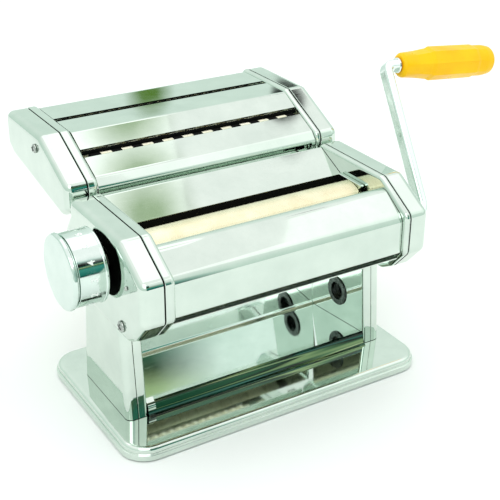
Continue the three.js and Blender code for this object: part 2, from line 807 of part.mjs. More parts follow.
// Axes of the four cutting rollers: the wide pair lies square to the slope, the narrow pair is level.
const slotY = 52.6;
const slotZ = cutter.top - (cutter.slopeTop - slotY) * Math.tan(slope);
const sink = wide.radius + 3.6;
const nip = { y: slotY + sink * Math.sin(slope), z: slotZ - sink * Math.cos(slope) };
const wideAxes = [-0.5, 0.5].map((s) => [
  nip.y + s * wide.spacing * Math.cos(slope),
  nip.z + s * wide.spacing * Math.sin(slope),
]);
const narrowNip = 94.5;
const narrowZ = cutter.top - narrow.radius - 3.4;
const narrowAxes = [-0.5, 0.5].map((s) => [narrowNip + s * narrow.spacing, narrowZ]);
const cutterShafts = [...wideAxes, ...narrowAxes];

function cutterPlate({ sign, inside }) {
  const seamX = sign * (housing.seam - gap / 2);
  const body = pan(cutterOutline, sign * inside, seamX, wall, 2.4, 5);
  const tab = [sign * inside, sign * (inside + wall)].sort((a, b) => a - b);
  const hang = box(...tab, tongue.front, tongue.rear, tongue.bottom, cutter.keelZ + 8);
  const [x0, x1] = sign < 0 ? [-90, -70] : [70, 90];
  return cut(join(body, hang), ...cutterShafts.map(([y, z]) => rod(x0, x1, y, z, wide.journal + gap, 16)));
}

const cutterScrew = [76, 147];

function cutterCover({ sign }) {
  const seamX = sign * (housing.seam + gap / 2);
  let body = pan(cutterOutline, sign * coverFace, seamX, wall, housing.round, 6);
  const [x0, x1] = sign < 0 ? [-110, -90] : [90, 110];
  const holes = [rod(x0, x1, ...cutterScrew, screw.shank + gap, 12)];
  if (sign > 0) [wideAxes[0], narrowAxes[1]].forEach(([y, z]) => holes.push(rod(x0, x1, y, z, 5.2 + gap, 20)));
  return cut(body, ...holes);
}

for (const side of sides) {
  add(`cutter_${side.name}_plate`, cutterPlate(side), "chrome");
  add(`cutter_${side.name}_cover`, cutterCover(side), "chrome");
}

const below = (d) => [d * Math.sin(slope), -d * Math.cos(slope)];
const onSlope = (y, d) => [y + below(d)[0], cutter.top - (cutter.slopeTop - y) * Math.tan(slope) + below(d)[1]];
const guardDrop = 1.4;
const frontGuardPath = [
  [cutter.front + 1.8, cutter.frontLow + 3],
  [cutter.front + 1.8, cutter.slopeLowZ - 5.4],
  onSlope(cutter.slopeLow + 3, guardDrop + thin),
  onSlope(slotY - 2.6, guardDrop + thin),
];
add("cutter_front_guard", folded(frontGuardPath, thin, ...between, 2.5), "chrome");
const middleGuardPath = [
  onSlope(slotY + 2.6, guardDrop + thin),
  [cutter.slopeTop - 0.6, cutter.top - guardDrop - thin],
  [narrowNip - 2.8, cutter.top - guardDrop - thin],
];
add("cutter_middle_guard", folded(middleGuardPath, thin, ...between, 2), "chrome");
const rearGuardPath = [
  [narrowNip + 2.8, cutter.top - guardDrop - thin],
  [cutter.rear - 2.4, cutter.top - guardDrop - thin],
  [cutter.rear - 2.4, cutter.rearLow + 2],
];
add("cutter_rear_guard", folded(rearGuardPath, thin, ...between, 3), "chrome");

// A grooved cutting roller with its gear: its discs sit in the grooves of its partner.
function cuttingRoller([y, z], spec, phase, shifted) {
  const half = spec.pitch / 2;
  const clear = 0.25;
  const first = roller.left + 2.6;
  const last = roller.right - 0.8;
  const count = Math.floor((last - first) / spec.pitch);
  const points = [[leftJournalEnd, 0], [leftJournalEnd, spec.journal], [first, spec.journal]];
  if (shifted) points.push([first, spec.groove]);
  for (let i = 0; i < count; i += 1) {
    const a = first + i * spec.pitch + (shifted ? half : 0) + clear;
    const b = a + half - 2 * clear;
    points.push([a, spec.groove], [a, spec.radius], [b, spec.radius], [b, spec.groove]);
  }
  const end = shifted ? coverFace - 1 : housing.seam + 0.4;
  points.push([last, spec.groove], [last, spec.journal]);
  if (shifted) points.push([housing.seam + 0.6, spec.journal], [housing.seam + 0.6, 5.2]);
  points.push([end, shifted ? 5.2 : spec.journal], [end, 0]);
  const pinion = gear(...leftGearX, y, z, spec.spacing / 2, spec.teeth, phase, spec.journal - 1);
  const body = join(turned(points, y, z, spec.sides), pinion);
  if (!shifted) return body;
  return cut(body, socket(coverFace - 12, coverFace + 2, y, z));
}

// A pair of cutting rollers; the one that takes the crank is given by its place in the pair.
function cuttingPair(names, axes, spec, driven) {
  const angle = Math.atan2(axes[1][1] - axes[0][1], axes[1][0] - axes[0][0]);
  const phases = [angle, angle + Math.PI + Math.PI / spec.teeth];
  names.forEach((name, i) => add(name, cuttingRoller(axes[i], spec, phases[i], i === driven), "satin"));
}
cuttingPair(["wide_cutter_front", "wide_cutter_rear"], wideAxes, wide, 0);
cuttingPair(["narrow_cutter_front", "narrow_cutter_rear"], narrowAxes, narrow, 1);

// Rails behind the housing that the cutter's two tongues drop into.
for (const { name, sign, inside } of sides) {
  const near = inside - 2.4;
  const far = inside + wall + 2.4;
  const xs = [sign * near, sign * far].sort((a, b) => a - b);
  const slot = [sign * (inside - gap), sign * (inside + wall + gap)].sort((a, b) => a - b);
  const body = box(...xs, housing.rear + gap, tongue.rear + 2, tongue.bottom - 2, housing.rearHigh - 12);
  const way = box(...slot, tongue.front - gap, tongue.rear + gap, tongue.bottom - gap, housing.rearHigh);
  add(`${name}_cutter_rail`, cut(body, way), "zinc");
}

export default group;
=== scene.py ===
import bpy
import json
import math
import numpy as np
from mathutils import Matrix, Quaternion, Vector


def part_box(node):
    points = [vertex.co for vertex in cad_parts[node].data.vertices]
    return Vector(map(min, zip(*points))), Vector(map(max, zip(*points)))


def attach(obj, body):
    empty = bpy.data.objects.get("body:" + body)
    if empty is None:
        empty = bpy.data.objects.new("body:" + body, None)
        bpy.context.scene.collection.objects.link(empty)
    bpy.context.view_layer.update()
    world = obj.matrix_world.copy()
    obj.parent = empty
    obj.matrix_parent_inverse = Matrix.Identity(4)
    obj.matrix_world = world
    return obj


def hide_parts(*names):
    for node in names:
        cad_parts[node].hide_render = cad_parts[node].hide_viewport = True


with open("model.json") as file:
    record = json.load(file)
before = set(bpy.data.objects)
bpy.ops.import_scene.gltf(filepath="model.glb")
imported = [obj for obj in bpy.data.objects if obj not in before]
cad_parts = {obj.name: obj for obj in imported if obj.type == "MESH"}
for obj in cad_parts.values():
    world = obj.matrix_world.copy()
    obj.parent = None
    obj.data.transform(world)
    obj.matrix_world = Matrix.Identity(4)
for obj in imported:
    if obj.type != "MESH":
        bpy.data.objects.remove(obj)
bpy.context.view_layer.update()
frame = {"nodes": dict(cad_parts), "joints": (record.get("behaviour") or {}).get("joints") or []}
mm = 0.001
print("frame loaded")

# ---- where things are, in millimetres, read from the CAD nodes ----


def nodeBox(name):
    low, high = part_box(name)
    return np.array(low) / mm, np.array(high) / mm


coverFace = nodeBox("right_end_cover")[1][0]
seamX = nodeBox("right_side_plate")[1][0]
leftInside = nodeBox("left_side_plate")[1][0]
rightInside = nodeBox("right_side_plate")[0][0]
sheetGap = 0.3
seamGap = 0.9
seamTuck = 0.2

# ---- outlines and surfaces ----


# A closed outline moved inwards by a distance: each side is shifted along its normal, and each new
# corner is where two shifted sides cross.
def insetOutline(points, distance):
    p = np.asarray(points, float)
    d = np.roll(p, -1, 0) - p
    d /= np.linalg.norm(d, axis=1)[:, None]
    area = np.sum(p[:, 0] * np.roll(p[:, 1], -1) - p[:, 1] * np.roll(p[:, 0], -1))
    normal = np.stack([-d[:, 1], d[:, 0]], 1) * np.sign(area)
    a = p + normal * distance
    aBack, dBack = np.roll(a, 1, 0), np.roll(d, 1, 0)
    gap = a - aBack
    t = (gap[:, 0] * d[:, 1] - gap[:, 1] * d[:, 0]) / (dBack[:, 0] * d[:, 1] - dBack[:, 1] * d[:, 0])
    return aBack + dBack * t[:, None]


# Each corner becomes an arc tangent to both sides: centre + start*sin((1-t)*sweep)/sin(sweep) +
# end*sin(t*sweep)/sin(sweep). One more point stands just outside the arc on each side, so that the
# flat stretches keep a flat reflection.
def filleted(points, radius, steps=7, loop=True, margin=0.3):
    p = np.asarray(points, float)
    radii = np.broadcast_to(radius, len(p))
    t = np.linspace(0, 1, steps)[:, None]
    out = []
    for i in range(len(p)):
        if not loop and i in (0, len(p) - 1):
            out.append(p[i][None])
            continue
        back, on = p[i - 1] - p[i], p[(i + 1) % len(p)] - p[i]
        backLength, onLength = np.linalg.norm(back), np.linalg.norm(on)
        back, on = back / backLength, on / onLength
        angle = math.acos(max(-1, min(1, back @ on)))
        if math.pi - angle < 0.02:
            spread = np.linspace(-1, 1, steps + 2)[:, None] * on * 0.05
            out.append(p[i] + spread)
            continue
        reach = min(radii[i] / math.tan(angle / 2), 0.46 * backLength, 0.46 * onLength)
        centre = p[i] + (back + on) / np.linalg.norm(back + on) * reach / math.cos(angle / 2)
        sweep = math.pi - angle
        start, end = p[i] + back * reach - centre, p[i] + on * reach - centre
        arc = centre + (np.sin((1 - t) * sweep) * start + np.sin(t * sweep) * end) / math.sin(sweep)
        out.append((arc[0] + back * min(margin, 0.03 * backLength))[None])
        out.append(arc)
        out.append((arc[-1] + on * min(margin, 0.03 * onLength))[None])
    return np.concatenate(out)


# A grid of rows by columns of points, closed round the columns; the ends are capped with one face
# each, or the last row joins the first.
def skinMesh(rows, joined=False):
    rows = np.asarray(rows, float)
    count, width = rows.shape[:2]
    r = np.arange(count if joined else count - 1)[:, None] * width
    c = np.arange(width)[None]
    nextRow = (r + width) % (count * width)
    nextCol = (c + 1) % width
    quads = np.stack([r + c, r + nextCol, nextRow + nextCol, nextRow + c], 2).reshape(-1, 4)
    points = rows.reshape(-1, 3)
    faces = quads.tolist()
    if not joined:
        faces.append(list(range(width))[::-1])
        faces.append(list(range((count - 1) * width, count * width)))
    a, b, d = points[quads[:, 0]], points[quads[:, 1]], points[quads[:, 3]]
    e = points[quads[:, 2]]
    middle = points.mean(0)
    volume = np.sum(np.cross(a - middle, b - middle) * (e - middle))
    volume += np.sum(np.cross(a - middle, e - middle) * (d - middle))
    if not joined:
        for start, sign in ((0, -1), ((count - 1) * width, 1)):
            ring = points[start:start + width] - middle
            one, two = ring[1:-1], ring[2:]
            volume += sign * np.sum(np.cross(np.broadcast_to(ring[0], one.shape), one) * two)
    if volume < 0:
        faces = [face[::-1] for face in faces]
    return points, faces


def addPiece(name, parts, material, body, nodes=(), sharp=32):
    points, faces, base = [], [], 0
    for partPoints, partFaces in parts:
        points.append(partPoints)
        faces += [[i + base for i in face] for face in partFaces]
        base += len(partPoints)
    mesh = bpy.data.meshes.new(name)
    mesh.from_pydata((np.concatenate(points) * mm).tolist(), [], faces)
    mesh.shade_smooth()
    mesh.set_sharp_from_angle(angle=math.radians(sharp))
    mesh.materials.append(material)
    piece = bpy.data.objects.new(name, mesh)
    bpy.context.scene.collection.objects.link(piece)
    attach(piece, body)
    if nodes:
        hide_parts(*nodes)
    return piece


# Rows of (x, y, z) from a Y-Z outline at one X.
def ringAt(x, outline):
    return np.column_stack([np.full(len(outline), float(x)), outline])


# A pressed pan: flat face at faceX, edges turned through a quarter circle, walls running to openX,
# then back inside at one sheet's thickness. A hole in the face is a circle that every outline point
# is drawn towards.
def panMesh(outline, faceX, openX, thickness, rounding, corner, hole=None, limits=None):
    side = np.sign(openX - faceX)
    turn = np.linspace(0, math.pi / 2, 9)
    inner = max(rounding - thickness, 0.5)
    rows = [(faceX, rounding + 0.5)]
    rows += [(faceX + side * rounding * (1 - math.cos(a)), rounding * (1 - math.sin(a))) for a in turn]
    rows += [(faceX + side * (rounding + 0.5), 0), (openX - side * 0.6, 0), (openX - side * 0.25, 0)]
    rows += [(openX, 0.3), (openX, thickness), (faceX + side * (thickness + inner), thickness)]
    rows += [(faceX + side * (thickness + inner * (1 - math.sin(a))), thickness + inner * (1 - math.cos(a)))
             for a in turn[::2]]
    rings = []
    for x, inward in rows:
        flat = filleted(insetOutline(outline, inward), max(corner - inward, 0.6))
        if limits:
            flat[:, 1] = np.clip(flat[:, 1], *limits)
        rings.append(ringAt(x, flat))
    if hole:
        y, z, radius = hole
        centre = np.array([y, z])
        away = rings[0][:, 1:] - centre
        circle = centre + away / np.linalg.norm(away, axis=1)[:, None] * radius
        rings.insert(0, ringAt(faceX, circle))
        rings.append(ringAt(faceX + side * thickness, circle))
    return skinMesh(rings, joined=bool(hole))


# A dark band in the seam between two pans, a little inside their walls: painted shade for the shadow in the
# seam.
def seamMesh(outline, x0, x1, corner):
    rows = [(x0, 0.5), (x1, 0.5), (x1, 1.6), (x0, 1.6)]
    rings = [ringAt(x, filleted(insetOutline(outline, inward), corner - inward)) for x, inward in rows]
    return skinMesh(rings, joined=True)


# Folded sheet: the side-view path is rounded at its bends, given a thickness to its left and run
# along X. Two rows close to each end keep the flat stretches flat.
def sheetMesh(path, thickness, x0, x1, radius, steps=9):
    line = filleted(path, radius, steps, loop=False)
    before = np.diff(line, axis=0, prepend=2 * line[:1] - line[1:2])
    after = np.diff(line, axis=0, append=2 * line[-1:] - line[-2:-1])
    before /= np.linalg.norm(before, axis=1)[:, None]
    after /= np.linalg.norm(after, axis=1)[:, None]
    mid = before + after
    mid /= np.linalg.norm(mid, axis=1)[:, None]
    stretch = thickness / np.clip(np.sum(mid * after, 1), 0.5, 1)
    other = line + np.stack([-mid[:, 1], mid[:, 0]], 1) * stretch[:, None]
    ring = np.concatenate([line, other[::-1]])
    return skinMesh([ringAt(x, ring) for x in (x0, x0 + 0.4, x1 - 0.4, x1)])


# A turned piece: radius as a function of distance along an axis, carried round a circle of sides.
# The wobble function scales the radius by angle and distance, for flutes and flats.
def turnedMesh(profile, place, sides=72, radius=0.4, steps=5, wobble=None):
    line = filleted(profile, radius, steps, loop=False, margin=0.15)
    angle = np.linspace(0, 2 * math.pi, sides, endpoint=False)
    r = np.repeat(line[:, 1:2], sides, 1)
    if wobble:
        r = r * wobble(angle[None], line[:, :1])
    along = np.repeat(line[:, :1], sides, 1)
    local = np.stack([along, r * np.cos(angle), r * np.sin(angle), np.ones_like(r)], 2)
    return skinMesh((local @ np.array(place).T)[..., :3])


def onAxis(y, z):
    return Matrix.Translation((0, y, z))


# Rows of a turned piece from a line of (x, radius), on an axis along X, with no rounding added.
def turnedRows(line, y, z, sides):
    angle = np.linspace(0, 2 * math.pi, sides, endpoint=False)
    x = np.repeat(line[:, :1], sides, 1)
    return np.stack([x, y + line[:, 1:] * np.cos(angle), z + line[:, 1:] * np.sin(angle)], 2)


# A box with every edge rounded: arcs at the corners in X-Y and a quarter circle at top and bottom.
def blockMesh(low, high, rounding, place=None, steps=5):
    low, high = np.array(low, float), np.array(high, float)
    corners = np.array([[low[0], low[1]], [high[0], low[1]], [high[0], high[1]], [low[0], high[1]]])
    turn = np.linspace(0, math.pi / 2, steps)
    levels = [(low[2] + rounding * (1 - math.cos(a)), rounding * (1 - math.sin(a))) for a in turn]
    levels = levels + [(low[2] + high[2] - z, inward) for z, inward in levels[::-1]]
    rings = []
    for z, inward in levels:
        flat = filleted(insetOutline(corners, inward), max(rounding - inward, 0.05), steps)
        rings.append(np.column_stack([flat, np.full(len(flat), z)]))
    rows = np.array(rings)
    if place is not None:
        rows = (np.concatenate([rows, np.ones(rows.shape[:2] + (1,))], 2) @ np.array(place).T)[..., :3]
    return skinMesh(rows)


# ---- materials ----


def linearColour(hexValue, alpha=1.0):
    values = [int(hexValue[i:i + 2], 16) / 255 for i in (1, 3, 5)]
    return [v / 12.92 if v <= 0.04045 else ((v + 0.055) / 1.055) ** 2.4 for v in values] + [alpha]


def addNode(tree, kind, settings=None, links=None):
    node = tree.nodes.new(kind)
    for key, value in (settings or {}).items():
        if isinstance(key, int) or key in node.inputs:
            node.inputs[key].default_value = value
        else:
            setattr(node, key, value)
    for key, source in (links or {}).items():
        tree.links.new(source, node.inputs[key])
    return node


def startMaterial(name, settings):
    material = bpy.data.materials.new(name)
    material.use_nodes = True
    tree = material.node_tree
    shader = next(n for n in tree.nodes if n.type == "BSDF_PRINCIPLED")
    for key, value in settings.items():
        shader.inputs[key].default_value = value
    place = addNode(tree, "ShaderNodeTexCoord").outputs["Object"]
    return material, tree, shader, place


def stretched(tree, place, scale):
    return addNode(tree, "ShaderNodeMapping", {"Scale": scale}, {"Vector": place}).outputs["Vector"]


def noise(tree, place, cell, detail=3.0, roughness=0.5):
    settings = {"Scale": 1 / (cell * mm), "Detail": detail, "Roughness": roughness}
    return addNode(tree, "ShaderNodeTexNoise", settings, {"Vector": place}).outputs["Fac"]


def ranged(tree, value, low, high, fromLow=0.3, fromHigh=0.7):
    settings = {"From Min": fromLow, "From Max": fromHigh, "To Min": low, "To Max": high}
    return addNode(tree, "ShaderNodeMapRange", settings, {"Value": value}).outputs["Result"]


# A mix of two colours, each a hex value or the output of another node.
def blended(tree, factor, one, two):
    mix = addNode(tree, "ShaderNodeMix", {"data_type": "RGBA"}, {"Factor": factor})
    for socket, value in zip([s for s in mix.inputs if s.type == "RGBA"], (one, two)):
        if isinstance(value, str):
            socket.default_value = linearColour(value)
        else:
            tree.links.new(value, socket)
    return next(s for s in mix.outputs if s.type == "RGBA")


def colourRamp(tree, value, stops):
    ramp = addNode(tree, "ShaderNodeValToRGB", links={"Fac": value})
    while len(ramp.color_ramp.elements) < len(stops):
        ramp.color_ramp.elements.new(1.0)
    for element, (position, colour) in zip(ramp.color_ramp.elements, stops):
        element.position = position
        element.color = linearColour(colour)
    return ramp.outputs["Color"]


def bumped(tree, height, depth, under=None):
    links = {"Height": height}
    if under:
        links["Normal"] = under
    return addNode(tree, "ShaderNodeBump", {"Strength": 1.0, "Distance": depth * mm}, links).outputs["Normal"]


# Bright chrome over pressed steel: a mirror with a faint green cast. The pressing leaves a slow
# waviness some 30 mm across, and wiping leaves hair scratches and a soft film of grease.
def polishedChrome(name, wave=0.02, film=0.06, light="#D7E2D9", dark="#CCD8CF"):
    material, tree, shader, place = startMaterial(name, {"Metallic": 1.0})
    cloud = noise(tree, place, 22, 4, 0.6)
    tree.links.new(blended(tree, ranged(tree, cloud, 0, 1), light, dark), shader.inputs["Base Color"])
    hair = noise(tree, stretched(tree, place, (0.06, 1, 1)), 0.7, 2)
    scratch = ranged(tree, hair, 0, 0.05, 0.62, 0.78)
    smear = ranged(tree, noise(tree, place, 9, 5, 0.65), 0.035, film)
    rough = addNode(tree, "ShaderNodeMath", {"operation": "ADD"}, {0: scratch, 1: smear}).outputs[0]
    tree.links.new(rough, shader.inputs["Roughness"])
    slow = bumped(tree, noise(tree, place, 30, 1), wave)
    fine = bumped(tree, hair, 0.0004, slow)
    tree.links.new(fine, shader.inputs["Normal"])
    return material


# Ground and hard-chromed roller steel: creamy, satin, with grinding lines that run round the roller.
def groundSteel(name, light="#F6F0D2", dark="#E6DDB9", rough=0.3, metallic=0.8):
    material, tree, shader, place = startMaterial(name, {"Metallic": metallic})
    lines = noise(tree, stretched(tree, place, (1, 0.02, 0.02)), 0.5, 3)
    cloud = noise(tree, place, 14, 4)
    tree.links.new(blended(tree, ranged(tree, cloud, 0, 1), light, dark), shader.inputs["Base Color"])
    tree.links.new(ranged(tree, lines, rough - 0.06, rough + 0.08), shader.inputs["Roughness"])
    tree.links.new(bumped(tree, lines, 0.006), shader.inputs["Normal"])
    return material


# Dark green with painted shade and painted reflection: dark and pale green bands streaked along X stand for
# reflections on a polished deck, under a clear coat.
def smokedEnamel(name):
    settings = {"Metallic": 0.6, "Coat Weight": 0.3, "Coat Roughness": 0.04}
    material, tree, shader, place = startMaterial(name, settings)
    reflectionBands = noise(tree, stretched(tree, place, (0.025, 1, 1)), 7, 1)
    shade = ranged(tree, reflectionBands, 0, 1, 0.36, 0.6)
    stops = [(0.0, "#060D0A"), (0.3, "#10291F"), (0.42, "#2A6457"), (0.5, "#060D0A"),
             (0.62, "#4F7350"), (0.74, "#93A878"), (0.82, "#122A1C"), (1.0, "#2C5A40")]
    ramp = colourRamp(tree, shade, stops)
    tree.links.new(ramp, shader.inputs["Base Color"])
    tree.links.new(ranged(tree, noise(tree, place, 6, 3), 0.06, 0.14), shader.inputs["Roughness"])
    tree.links.new(bumped(tree, reflectionBands, 0.12), shader.inputs["Normal"])
    return material


# Zinc-plated steel: dull silver with a fine crystal grain and darker spots.
def zincPlate(name, light="#C9CDC8", dark="#9FA5A0", rough=0.34):
    material, tree, shader, place = startMaterial(name, {"Metallic": 1.0})
    crystals = addNode(tree, "ShaderNodeTexVoronoi", {"Scale": 1 / (1.2 * mm)}, {"Vector": place})
    spots = ranged(tree, crystals.outputs["Distance"], 0, 1, 0.1, 0.7)
    tree.links.new(blended(tree, spots, light, dark), shader.inputs["Base Color"])
    grain = noise(tree, place, 0.6, 3)
    tree.links.new(ranged(tree, grain, rough - 0.08, rough + 0.1), shader.inputs["Roughness"])
    tree.links.new(bumped(tree, grain, 0.006), shader.inputs["Normal"])
    return material


# Injection-moulded ABS in warm yellow: glossy skin over a slight orange peel, rubbed duller in
# patches where it is held.
def mouldedYellow(name):
    settings = {"IOR": 1.45, "Specular IOR Level": 0.25, "Coat Weight": 0.05, "Coat Roughness": 0.12}
    material, tree, shader, place = startMaterial(name, settings)
    cloud = noise(tree, place, 18, 4)
    yellow = blended(tree, ranged(tree, cloud, 0, 1), "#FFCC00", "#FFBC00")
    tree.links.new(yellow, shader.inputs["Base Color"])
    tree.links.new(ranged(tree, noise(tree, place, 7, 4), 0.27, 0.42), shader.inputs["Roughness"])
    peel = bumped(tree, noise(tree, place, 1.1, 2), 0.012)
    drawn = noise(tree, stretched(tree, place, (0.2, 1, 1)), 0.5, 2)
    tree.links.new(bumped(tree, drawn, 0.003, peel), shader.inputs["Normal"])
    return material


# Natural acetal: off-white, a little waxy, with faint flow marks.
def acetal(name, light="#EAE7DA", dark="#DAD5C4"):
    material, tree, shader, place = startMaterial(name, {"IOR": 1.48})
    cloud = noise(tree, place, 4, 4)
    tree.links.new(blended(tree, ranged(tree, cloud, 0, 1), light, dark), shader.inputs["Base Color"])
    tree.links.new(ranged(tree, cloud, 0.35, 0.5), shader.inputs["Roughness"])
    return material


# Black moulded rubber: matt, slightly dusty, with a fine pitted skin.
def footRubber(name):
    material, tree, shader, place = startMaterial(name, {"IOR": 1.52})
    pits = noise(tree, place, 0.9, 4, 0.6)
    dust = ranged(tree, noise(tree, place, 5, 3), 0, 1)
    tree.links.new(blended(tree, dust, "#262726", "#3A3B39"), shader.inputs["Base Color"])
    tree.links.new(ranged(tree, pits, 0.65, 0.85), shader.inputs["Roughness"])
    tree.links.new(bumped(tree, pits, 0.05), shader.inputs["Normal"])
    return material


# Flat black for painted shade in seams, gaps and hollows: a fine grain and very little shine.
def blackPlastic(name):
    material, tree, shader, place = startMaterial(name, {"IOR": 1.35, "Specular IOR Level": 0.12})
    grain = noise(tree, place, 0.7, 3)
    black = blended(tree, ranged(tree, grain, 0, 1), "#050605", "#0B0D0C")
    tree.links.new(black, shader.inputs["Base Color"])
    tree.links.new(ranged(tree, grain, 0.6, 0.8), shader.inputs["Roughness"])
    return material


# Enamel rubbed into stamped marks: nearly flat, with specks where it has chipped. The same flat finish also
# carries painted shade: the screw crosses, the clamp bush's end disc and the grip's bore.
def markEnamel(name, light, dark):
    material, tree, shader, place = startMaterial(name, {"IOR": 1.5})
    chips = noise(tree, place, 0.8, 3)
    worn = ranged(tree, chips, 0, 1, 0.45, 0.75)
    tree.links.new(blended(tree, worn, light, dark), shader.inputs["Base Color"])
    tree.links.new(ranged(tree, chips, 0.35, 0.6), shader.inputs["Roughness"])
    return material


chrome = polishedChrome("polished chrome plate")
wavyChrome = polishedChrome("polished chrome on thin folded sheet", wave=0.035)
tubeChrome = polishedChrome("satin chrome on bar steel", 0.006, 0.3, "#EDF4F1", "#E0EAE5")
rollerSteel = groundSteel("ground roller steel")
# The cutter steel is lighter and less metallic than the roller steel: painted light, so the discs read bright
# in their shaded cavity.
cutterLitSteel = groundSteel("ground cutter steel, lightened as painted light", "#FFFCE8", "#F8F2D6", 0.4, 0.25)
zinc = zincPlate("zinc plated steel")
scraperChrome = polishedChrome("satin chrome on scraper sheet", 0.01, 0.3)
# The tray's chrome is lighter than the rest: painted light that lifts the shaded panel under the housing.
trayLitChrome = polishedChrome("tray chrome lightened as painted light", 0.02, 0.06, "#F1F8F4", "#E8F1EC")
reflectionBandGreen = smokedEnamel("dark green with painted reflection bands")
knobChrome = polishedChrome("satin chrome on zinc", 0.02, 0.14, "#DCE8E2", "#CEDDD6")
shadeBlack = blackPlastic("flat black for painted shade")
gearSteel = zincPlate("oiled gear steel", "#9A9D98", "#6E716D", 0.3)
bushZinc = zincPlate("dark plated bush", "#6F7672", "#3E4441", 0.3)
gripYellow = mouldedYellow("moulded yellow ABS")
boreOrange = markEnamel("moulded bore in shade", "#C87A08", "#A35D04")
nylon = acetal("natural acetal")
rubber = footRubber("moulded rubber")
whiteMark = markEnamel("white enamel mark", "#FAFCFA", "#DDE5E0")
recessShadeBlack = markEnamel("black painted shade for recesses", "#0B0D0C", "#1A1D1B")
print("materials made")

# ---- base ----
baseLow, baseHigh = nodeBox("base_plate")
basePlate = {"corner": 17, "rimTop": 4.7, "step": 1.1, "bead": 0.7, "topRound": 2.6, "wall": 1.2}


def makeBase():
    s = basePlate
    corners = np.array([[baseLow[0], baseLow[1]], [baseHigh[0], baseLow[1]],
                        [baseHigh[0], baseHigh[1]], [baseLow[0], baseHigh[1]]])
    top, low = baseHigh[2], baseLow[2]
    turn = np.linspace(0, math.pi / 2, 7)
    rimEdge = [(s["bead"] * (1 - math.sin(a)), s["rimTop"] - s["bead"] * (1 - math.cos(a)))
               for a in turn[::-1]]
    topEdge = [(s["step"] + s["topRound"] * (1 - math.cos(a)), top - s["topRound"] * (1 - math.sin(a)))
               for a in turn]
    profile = [(s["wall"] + 1, top - s["wall"]), (s["wall"] + s["step"], top - s["wall"] - 1),
               (s["wall"], low)]
    profile += [(0.3, low), (0, low + 0.3), (0, low + 0.6), (0, s["rimTop"] - s["bead"] - 0.2)] + rimEdge
    profile += [(s["step"] - 0.2, s["rimTop"]), (s["step"], s["rimTop"] + 0.2),
                (s["step"], s["rimTop"] + 0.5)]
    profile += topEdge + [(s["step"] + s["topRound"] + 0.4, top)]
    rings = []
    for inward, z in profile:
        flat = filleted(insetOutline(corners, inward), max(s["corner"] - inward, 0.6), 14)
        rings.append(np.column_stack([flat, np.full(len(flat), z)]))
    addPiece("basePlate", [skinMesh(rings)], chrome, "machine", ["base_plate"])


makeBase()

# ---- legs ----
legLow, legHigh = nodeBox("right_leg_outer")
innerLow, innerHigh = nodeBox("right_leg_inner")
leg = {"front": -31, "rear": 31.5, "frontLean": 4.5, "rearLean": 6, "spread": 12, "corner": 6, "wall": 1.2,
       "round": 4.2, "innerRound": 1.6}
clampHole = {"y": 0, "z": 34.5, "radius": 8.7}


# The leg's two leaning edges, carried past both of its ends. The pans are cut flat at the ends.
def legOutline():
    s = leg
    rise = legHigh[2] - legLow[2]
    low, high = legLow[2] - s["spread"], legHigh[2] + s["spread"]

    def front(z):
        return s["front"] + s["frontLean"] * (z - legLow[2]) / rise

    def rear(z):
        return s["rear"] - s["rearLean"] * (z - legLow[2]) / rise

    return [(front(low), low), (rear(low), low), (rear(high), high), (front(high), high)]


def makeLegs():
    s = leg
    outline, wall, corner = legOutline(), s["wall"], s["corner"]
    limits = (legLow[2], legHigh[2])
    for side, sign in (("left", -1), ("right", 1)):
        face, edge = sign * legHigh[0], sign * legLow[0]
        outer = panMesh(outline, face, edge, wall, s["round"], corner, limits=limits)
        addPiece(side + "LegOuter", [outer], chrome, "machine", [side + "_leg_outer"])
        hole = (clampHole["y"], clampHole["z"], clampHole["radius"]) if sign > 0 else None
        face, edge = sign * innerLow[0], sign * innerHigh[0]
        inner = panMesh(outline, face, edge, wall, s["innerRound"], corner, hole, limits)
        addPiece(side + "LegInner", [inner], chrome, "machine", [side + "_leg_inner"])


makeLegs()


bush = {"play": 0.4, "flange": 1.7, "chamfer": 0.3, "bore": 6.7, "ribs": 4, "ribDepth": 0.55, "sides": 64}


# The clamp bush: a flanged sleeve whose bore is a row of rounded ribs.
def makeBush():
    s = bush
    low, high = nodeBox("clamp_bush")
    y, z, outer = clampHole["y"], clampHole["z"], clampHole["radius"] - s["play"]
    t = np.linspace(0, 1, 33)
    ribs = s["bore"] - s["ribDepth"] * np.cos(2 * math.pi * s["ribs"] * t)
    bore = np.column_stack([high[0] - t * (high[0] - low[0]), ribs])
    rim = outer + s["flange"]
    shell = np.array([(low[0], outer - 0.7), (low[0], rim - s["chamfer"]), (low[0] + s["chamfer"], rim),
                      (innerLow[0] - 0.3, rim), (innerLow[0] - 0.2, outer), (high[0], outer)])
    rows = turnedRows(np.concatenate([shell, bore]), y, z, s["sides"])
    addPiece("clampBush", [skinMesh(rows, joined=True)], bushZinc, "machine", ["clamp_bush"])
    # The black disc behind the bush's bore is painted shade for the dark inside of the machine seen through
    # it.
    back = turnedMesh([(high[0] + 1, 7), (high[0] + 2, 7)], onAxis(y, z), 40, 0.1, 3)
    addPiece("clampBushShadeEnd", [back], recessShadeBlack, "machine")


makeBush()

# ---- tray ----
trayLow, trayHigh = nodeBox("tray")
tray = {"front": -29.2, "frontZ": 16.6, "rear": 29.2, "rearZ": 10.9, "thickness": 1.0, "bend": 2.2,
        "strip": 0.5, "tab": 0.8, "tabWidth": 5}


